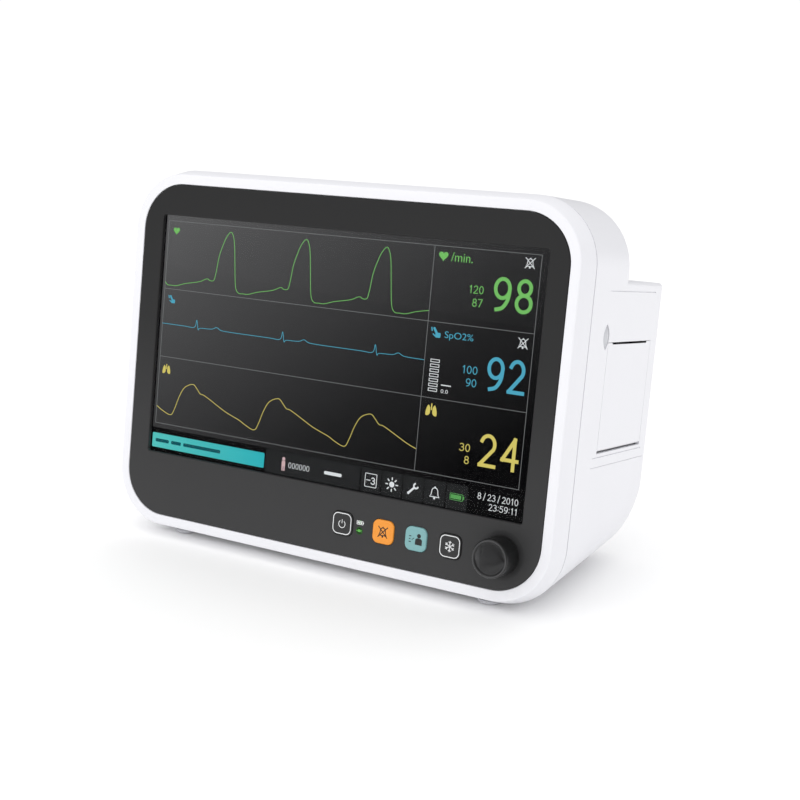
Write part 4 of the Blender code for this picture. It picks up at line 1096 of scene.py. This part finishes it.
def alarm_sign(marks, at):
    draw_bell(marks, at, 6.6, 0.6, crossed=True)


def patient_sign(marks, at):
    """A patient's head and shoulders beside three short rows."""
    u, v = at[0] + 2.2, at[1] - 0.4
    marks.area(circle(1.3, 18, (u, v + 2.6)))
    marks.area(rounded((u - 2.3, u + 2.3), (v - 2.8, v + 1.2), (0.2, 0.2, 1.6, 1.6), 6))
    left, low = at[0] - 4.4, at[1] - 2.2
    for row, width in enumerate((1.5, 1.1, 1.5)):
        marks.bar((left, left + width), (low + row * 1.7, low + row * 1.7 + 0.5))
    marks.line([(at[0] - 2.4, at[1] - 0.6), (at[0] - 0.9, at[1] + 0.6)], 0.4)


def freeze_sign(marks, at):
    draw_snowflake(marks, at, 6.6, 0.46)


def keys():
    """Four caps with their signs; the two dark ones also have a printed frame."""
    for name, look, slot, ink, sign in (("power_key", "charcoal", "charcoal_plastic", "mark", power_sign),
                                        ("alarm_key", "orange", "orange_key", "ink", alarm_sign),
                                        ("patient_key", "teal", "teal_key", "ink", patient_sign),
                                        ("freeze_key", "charcoal", "charcoal_plastic", "mark", freeze_sign)):
        at, top = key_cap(name, look, slot)
        marks = Drawing(top + 0.2, top - 0.02)
        sign(marks, at)
        if ink == "mark":
            marks.frame(square(at, 6.5, 3.5, 10), square(at, 6.0, 3.0, 10))
        marks.finish(name + "_marks", ink, slot, body=name)


def lights():
    quarter = [math.pi / 2 * i / 6 for i in range(1, 7)]
    for name, look in (("mains_light", "lit lamp"), ("battery_light", "charcoal")):
        low, high = extent(name)
        at = (low + high) / 2
        dome = [(LIGHT_R * math.sin(a), 0.35 - 0.3 * math.cos(a)) for a in quarter]
        profile = dome + [(LIGHT_R, 2.7), (2.1, 2.7), (2.1, high.y)]
        piece(name + "_lens", turned(profile, along_y(at.x, at.z), 24), look, "status_lamp", replaces=(name,))
    light_signs(middle("mains_light"), middle("battery_light"))


def light_signs(upper, lower):
    """A battery over the upper light, and a plug with its glow over the lower one."""
    signs, glow, plug = Drawing(0.3, -0.03), Drawing(0.3, -0.01), Drawing(0.3, -0.03)
    x, z = upper.x, upper.z
    signs.frame(square((x, z), (2.3, 1.15), 0.3, 2), square((x, z), (2.0, 0.85), 0.2, 2))
    for step in range(3):
        u = x - 1.7 + step * 1.15
        signs.bar((u, u + 0.8), (z - 0.6, z + 0.6))
    signs.bar((x + 2.3, x + 2.7), (z - 0.5, z + 0.5))
    signs.finish("battery_sign", "mark", "charcoal_plastic")
    x, z = lower.x, lower.z
    glow.frame(circle(2.3, 28, (x, z)), circle(1.62, 28, (x, z)))
    glow.finish("mains_glow", "lit glow", "status_lamp")
    plug.line([(x - 2.2, z), (x - 1.0, z)], 0.4)
    plug.area(rounded((x - 1.0, x + 0.7), (z - 0.8, z + 0.8), (0.1, 0.5, 0.5, 0.1), 4))
    for side in (-1, 1):
        plug.bar((x + 0.7, x + 1.8), (z + side * 0.42 - 0.15, z + side * 0.42 + 0.15))
    plug.finish("mains_sign", "lit sign", "status_lamp")


def knob():
    """A turned cap with a rolled rim round its hollowed face; the rim is painted paler as a highlight."""
    low, high = extent("encoder_knob")
    at = (low + high) / 2
    radius, front, back = (high.x - low.x) / 2, low.y, high.y
    place = along_y(at.x, at.z)
    rim, hollow = radius - 1.3, 2.6
    profile = [(r, front + 0.3 + hollow * (1 - (r / rim) ** 2.6))
               for r in (0.5, 2.5, 4.5, 6.2, 7.4, 8.3, 9.0, 9.5)]
    profile += [(rim, front + 0.3), (rim + 0.1, front + 0.2)]
    profile += [(radius - 0.9 + 0.9 * math.sin(a), front + 0.2 + 0.9 - 0.9 * math.cos(a))
                for a in (math.pi / 2 * i / 6 for i in range(1, 7))]
    profile += [(radius, back - 0.3), (radius - 0.3, back), (radius - 2.0, back), (radius - 2.2, back - 1.0)]
    cap = turned(profile, place, 96)
    round_rim = [(rim + 0.25 + 0.45 * math.cos(a), front + 0.45 - 0.45 * math.sin(a))
                 for a in (math.pi * (1 - i / 10) for i in range(11))]
    rolled = turned([(rim - 0.2, front + 0.9)] + round_rim + [(rim + 0.7, front + 0.9)], place, 96)
    # The rim takes a paler plastic than the cap: a painted highlight on the rolled rim.
    piece("knob_rim", rolled, "knob rim highlight", "charcoal_plastic", body="knob")
    shaft_low, shaft_high = extent("encoder_shaft")
    shaft_r = (shaft_high.x - shaft_low.x) / 2
    cut(cap, turned([(shaft_r + 0.2, shaft_low.y - 0.4), (shaft_r + 0.2, back + 1)], place))
    piece("knob_cap", cap, "knob", "charcoal_plastic", body="knob", replaces=("encoder_knob",))
    shaft = turned([(shaft_r - 0.3, shaft_low.y), (shaft_r, shaft_low.y + 0.3), (shaft_r, shaft_high.y - 0.3),
                    (shaft_r - 0.3, shaft_high.y)], place)
    piece("knob_shaft", shaft, "steel", "steel", body="knob", replaces=("encoder_shaft",))


# ---- strip recorder ----
def release_button():
    """A pointed-oval cap with a rounded back, and the dark flange that holds it in."""
    low, high = extent("release_button")
    at = (low + high) / 2
    place = along_x(at.y, at.z)
    wide, tall = RELEASE_HALF
    slopes = [(0.0, 0.0), (0.0, 2.2), (0.15, 2.4), (1.2, 2.75), (2.6, 3.1), (3.6, 3.2)]
    rings = [[place(u, v, high.x - 3.2 + t) for u, v in lens(wide - inset, tall - 0.4 * inset)]
             for inset, t in slopes]
    piece("release_cap", loft(rings), "button", "grey_plastic", body="release_button",
          replaces=("release_button",))
    flange = prism(lens(wide + 1.0, tall + 2.2), place, low.x, low.x + 1.6)
    piece("release_flange", flange, "black", "grey_plastic", body="release_button")


def recorder():
    low, high = extent("recorder_door")
    outer_x = high.x
    hinge, platen = middle("recorder_door_pin"), middle("platen_roller")
    door = block((outer_x - DOOR_T, outer_x), (low.y, high.y), (hinge.z, high.z))
    join(door, rod(BARREL_R, along_y(hinge.x, hinge.z), low.y, high.y))
    cut(door, rod(PIN_BORE_R, along_y(hinge.x, hinge.z), low.y - 1, high.y + 1))
    paper = extent("print_head")
    for arm_y in (paper[0].y - 3.4, paper[1].y + 0.9):
        arm = rounded((platen.x - 4, outer_x - 1), (platen.z - 6, platen.z + 5), 2.0, 5)
        join(door, prism(arm, along_y(), arm_y, arm_y + 2.2))
        cut(door, prism(circle(2.3, 24, (platen.x, platen.z)), along_y(), arm_y - 0.5, arm_y + 3))
    slot_y = (paper[0].y - 0.2, paper[1].y + 0.2)
    cut(door, block((outer_x - 2 * DOOR_T, outer_x + 1), slot_y, (high.z - 1.0, high.z + 1)))
    soften(piece("recorder_cover", door, "white", "white_plastic", body="recorder_door",
                 replaces=("recorder_door",)), 0.35)
    release_button()
    dress("slate", "recorder_frame")
    dress("rubber", "platen_roller")
    dress("grey", "platen_gear")
    dress("brass", "feed_gear")
    dress("steel", "recorder_door_pin", "feed_motor")
    dress("aluminium", "print_head")
    dress("paper", "paper_roll")


# ---- left side: patient sockets ----
def patient_sockets():
    low, high = extent("connector_panel")
    looks = {"ecg_socket": ("green", "green_socket", 6), "spo2_socket": ("blue", "blue_socket", 5),
             "temperature_socket": ("teal", "teal_key", 3), "pressure_socket": ("red", "red_socket", 4)}
    outline = rounded((low.y, high.y), (low.z, high.z), 1.2, 6)
    panel = prism(outline, along_x(0, 0), low.x, high.x)
    for name in (*looks, "cuff_port"):
        first, last = extent(name)
        radius = (last.y - first.y) / 2 + GAP
        centre = (first + last) / 2
        cut(panel, prism(circle(radius), along_x(centre.y, centre.z), low.x - 1, high.x + 1))
    piece("socket_panel", panel, "grey", "grey_plastic", replaces=("connector_panel",))
    panel.data.shade_flat()
    for name, (look, slot, pins) in looks.items():
        first, last = extent(name)
        centre, radius = (first + last) / 2, (last.y - first.y) / 2
        place = along_x(centre.y, centre.z)
        face, wall, floor = first.x, 1.6, last.x - 3
        profile = [(radius - wall, floor), (radius - wall, face + 0.5), (radius - wall + 0.3, face + 0.1),
                   (radius - 0.8, face), (radius - 0.25, face + 0.1), (radius, face + 0.4), (radius, last.x)]
        shell = turned([(1.0, floor)] + profile + [(1.0, last.x)], place, 56)
        key = block((face + 2, floor + 0.5), (centre.y - 1.2, centre.y + 1.2),
                    (centre.z + radius - wall - 1.0, centre.z + radius - 0.6))
        piece(name + "_shell", join(shell, key), look, slot, replaces=(name,))
        studs = [turned([(0.5, floor - 3.2), (0.7, floor - 2.9), (0.7, floor + 0.4)],
                        along_x(centre.y + u, centre.z + v), 16)
                 for u, v in circle((radius - wall) * 0.55, pins)]
        piece(name + "_contacts", gather(studs), "brass", "brass")
    first, last = extent("cuff_port")
    centre, radius = (first + last) / 2, (last.y - first.y) / 2
    profile = [(2.4, first.x + 8), (2.4, first.x + 0.3), (2.8, first.x), (radius - 2.2, first.x),
               (radius - 1.9, first.x + 0.5), (radius - 1.2, first.x + 0.5), (radius - 0.9, first.x + 0.1),
               (radius, first.x + 1.0), (radius, last.x)]
    collar = turned([(0.8, first.x + 8)] + profile + [(0.8, last.x)], along_x(centre.y, centre.z), 56)
    piece("cuff_port_collar", collar, "aluminium", "aluminium", replaces=("cuff_port",))


# ---- back: power, data, battery and mounting ----
def hollow_block(low, high, wall, floor, radius):
    """A socket's body, open at the back of the monitor."""
    centre = ((low.x + high.x) / 2, (low.z + high.z) / 2)
    half = ((high.x - low.x) / 2, (high.z - low.z) / 2)
    body = prism(square(centre, half, 0.6, 3), along_y(), low.y, high.y)
    inner = square(centre, (half[0] - wall, half[1] - wall), radius, 5)
    return cut(body, prism(inner, along_y(), floor, high.y + 1)), centre, half


def power_and_data():
    low, high = extent("mains_inlet")
    inlet, centre, half = hollow_block(low, high, 1.8, high.y - 15.6, 2.6)
    piece("power_inlet", soften(inlet, 0.25), "black", "black_plastic", replaces=("mains_inlet",))
    blades = []
    for x, z in ((0, 2.0), (-6.5, -2.0), (6.5, -2.0)):
        x, z = centre[0] + x, centre[1] + z
        blades.append(block((x - 1, x + 1), (high.y - 16.6, high.y - 9.6), (z - 2, z + 2)))
    piece("power_inlet_blades", soften(gather(blades), 0.3), "steel", "steel")
    for name, contacts in (("network_socket", 8), ("data_socket", 4)):
        low, high = extent(name)
        shell, centre, half = hollow_block(low, high, 1.8, high.y - 13.4, 0.5)
        piece(name + "_shell", soften(shell, 0.2), "steel", "steel", replaces=(name,))
        pitch, floor_y = (half[0] * 2 - 6.0) / contacts, high.y - 13.6
        strips = []
        for i in range(contacts):
            x = centre[0] + (i - (contacts - 1) / 2) * pitch
            strips.append(block((x - 0.3, x + 0.3), (floor_y, high.y - 3), (high.z - 2.6, high.z - 2.1)))
        piece(name + "_contacts", gather(strips), "brass", "brass")
        tongue = block((low.x + 1.9, high.x - 1.9), (floor_y, high.y - 2.4), (high.z - 2.1, high.z - 1.7))
        piece(name + "_tongue", tongue, "black", "black_plastic")
    low, high = extent("earth_stud")
    at = (low + high) / 2
    threads = [(3.0 - 0.25 * (i % 2), high.y - 0.9 - i * 0.35) for i in range(12)]
    stud = turned([(2.4, high.y), (2.9, high.y - 0.5)] + threads + [(3.0, high.y - 5.6), (3.0, low.y)],
                  along_y(at.x, at.z), 32)
    nut = rod(5.6, along_y(at.x, at.z), BACK_Y + 0.3, BACK_Y + 2.4, 6)
    piece("earth_terminal", soften(join(stud, nut), 0.15), "brass", "brass", replaces=("earth_stud",))


def battery_cover():
    low, high = extent("battery_door")
    pin, back = middle("battery_door_pin"), BACK_Y
    cover = block((low.x, high.x), (back - DOOR_T, back), (pin.z, high.z))
    join(cover, rod(BARREL_R, along_x(pin.y, pin.z), low.x, high.x))
    cut(cover, rod(PIN_BORE_R, along_x(pin.y, pin.z), low.x - 1, high.x + 1))
    grip = square((0, high.z - 3.75), (14.0, 1.25), 1.2, 5)
    join(cover, prism(grip, along_y(), back - 1, high.y))
    for side in (-1, 1):
        for rib in range(5):
            x = side * (30 + rib * 4.0)
            cut(cover, prism(square((x, high.z - 12), (0.7, 5.0), 0.65, 4), along_y(), back - 0.5, back + 1))
    soften(piece("battery_cover", cover, "white", "white_plastic", body="battery_door",
                 replaces=("battery_door",)), 0.3)
    dress("steel", "battery_door_pin")
    dress("black", "battery_pack")


def fixings():
    for number in range(1, 5):
        low, high = extent(f"mount_insert_{number}")
        at, radius = (low + high) / 2, (high.x - low.x) / 2
        profile = [(1.9, high.y - 0.3), (2.2, high.y), (radius - 0.3, high.y), (radius, high.y - 0.3)]
        for groove in range(4):
            y = high.y - 1.2 - groove * 1.6
            profile += [(radius, y), (radius - 0.25, y - 0.2), (radius - 0.25, y - 0.6), (radius, y - 0.8)]
        profile += [(radius, low.y), (1.9, low.y)]
        threads = [(1.9 - 0.2 * (i % 2), low.y + 0.4 + i * 0.35) for i in range(1, 22)]
        insert = turned(profile + threads, along_y(at.x, at.z), 32, capped=False)
        piece(f"insert_{number}", insert, "brass", "brass", replaces=(f"mount_insert_{number}",))
        low, high = extent(f"housing_screw_{number}")
        at, head_r = (low + high) / 2, (high.x - low.x) / 2
        head = high.y - 2.2
        place = along_y(at.x, at.z)
        screw = turned([(1.5, low.y), (1.8, low.y + 0.4), (1.8, head), (head_r, head), (head_r, high.y - 0.5),
                        (head_r - 0.5, high.y)], place, 40)
        cut(screw, rod(1.5, place, head + 0.8, high.y + 1, 6))
        piece(f"screw_{number}", soften(screw, 0.12), "steel", "steel", replaces=(f"housing_screw_{number}",))


def feet():
    """Each foot is a pad with a hollow face, and a barbed stem through the sloping floor."""
    wall = underside(CASE_Y) * math.cos(LEAN) - CASE_Y * math.sin(LEAN) - GAP
    for number in range(1, 5):
        low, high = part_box(f"foot_{number}")
        centre = PLACE.inverted() @ ((low + high) / 2) / MM
        level_y = centre.y * math.cos(LEAN) + centre.z * math.sin(LEAN)
        base, top = ((corner.z - PLACE.translation.z) / MM for corner in (low, high))
        profile = [(1.0, base + 0.5), (4.6, base + 0.5), (4.9, base + 0.1), (5.2, base), (6.9, base),
                   (7.4, base + 0.15), (7.8, base + 0.5), (8.0, base + 0.9), (8.0, wall - 0.2), (7.8, wall),
                   (2.5, wall), (2.5, top - 2.1), (3.9, top - 2.1), (2.6, top)]
        foot = turned(profile, upright(centre.x, level_y), 48)
        piece(f"rest_foot_{number}", foot, "foot", "foot_rubber", replaces=(f"foot_{number}",))


def insides():
    dress("steel", "chassis", "encoder_body", "cuff_pump")
    dress("board", "key_board", "main_board", "measurement_board")
    dress("aluminium", "heat_sink")
    dress("black", "power_supply", "cuff_valve", "speaker", "encoder_rotor")


# ---- stage ----
def floor():
    surface = Surface("studio floor", 1.0)
    surface.set("Specular IOR Level", 0.0)
    mottle = surface.noise(3.0, 2.0)
    surface.paint(surface.mix(mottle, (0.975, 0.975, 0.975), (0.985, 0.985, 0.985)))
    mesh = bmesh.new()
    bmesh.ops.create_grid(mesh, x_segments=2, y_segments=2, size=6.0)
    ground = thing_of(mesh)
    ground.name = "studio_floor"
    ground.location.z = -0.0002
    ground.data.materials.append(surface.material)


def lamp(name, at, aim, size, power):
    light = bpy.data.lights.new(name, "AREA")
    light.energy, light.size = power, size
    holder = bpy.data.objects.new(name, light)
    bpy.context.collection.objects.link(holder)
    holder.location = at
    holder.rotation_euler = (Vector(aim) - Vector(at)).to_track_quat("-Z", "Y").to_euler()


def studio():
    scene = bpy.context.scene
    world = bpy.data.worlds.new("studio")
    world.use_nodes = True
    tree = world.node_tree
    glossy = tree.nodes.new("ShaderNodeMapRange")
    glossy.inputs["To Min"].default_value = WORLD_LIGHT
    glossy.inputs["To Max"].default_value = WORLD_GLOSS
    tree.links.new(tree.nodes.new("ShaderNodeLightPath").outputs["Is Glossy Ray"], glossy.inputs["Value"])
    tree.nodes["Background"].inputs["Color"].default_value = (1.0, 1.0, 1.0, 1)
    tree.links.new(glossy.outputs["Result"], tree.nodes["Background"].inputs["Strength"])
    scene.world = world
    scene.view_settings.view_transform = "Standard"
    scene.view_settings.look = "None"
    lamp("overhead_light", (0, 0, 2.5), (0, 0, 0), 2.5, 8.0)
    lamp("key_light", (-0.7, -1.6, 1.0), (0, 0, 0.1), 1.4, 6.0)
    camera = bpy.data.objects.new("camera", bpy.data.cameras.new("camera"))
    bpy.context.collection.objects.link(camera)
    camera.data.lens, camera.data.sensor_width = CAMERA_LENS, CAMERA_SENSOR
    camera.location = PLACE @ (Vector(CAMERA_AT) * MM)
    look = PLACE @ (Vector(CAMERA_AIM) * MM) - camera.location
    camera.rotation_euler = look.to_track_quat("-Z", "Y").to_euler()
    scene.camera = camera


def main():
    housing()
    face_ring()
    face_panel()
    front = screen()
    for draw in (grid_lines, waves, readouts, status_bar):
        draw(front)
    for make in (lights, keys, knob, recorder, patient_sockets, power_and_data, battery_cover, fixings,
                 feet, insides, floor, studio):
        make()


main()
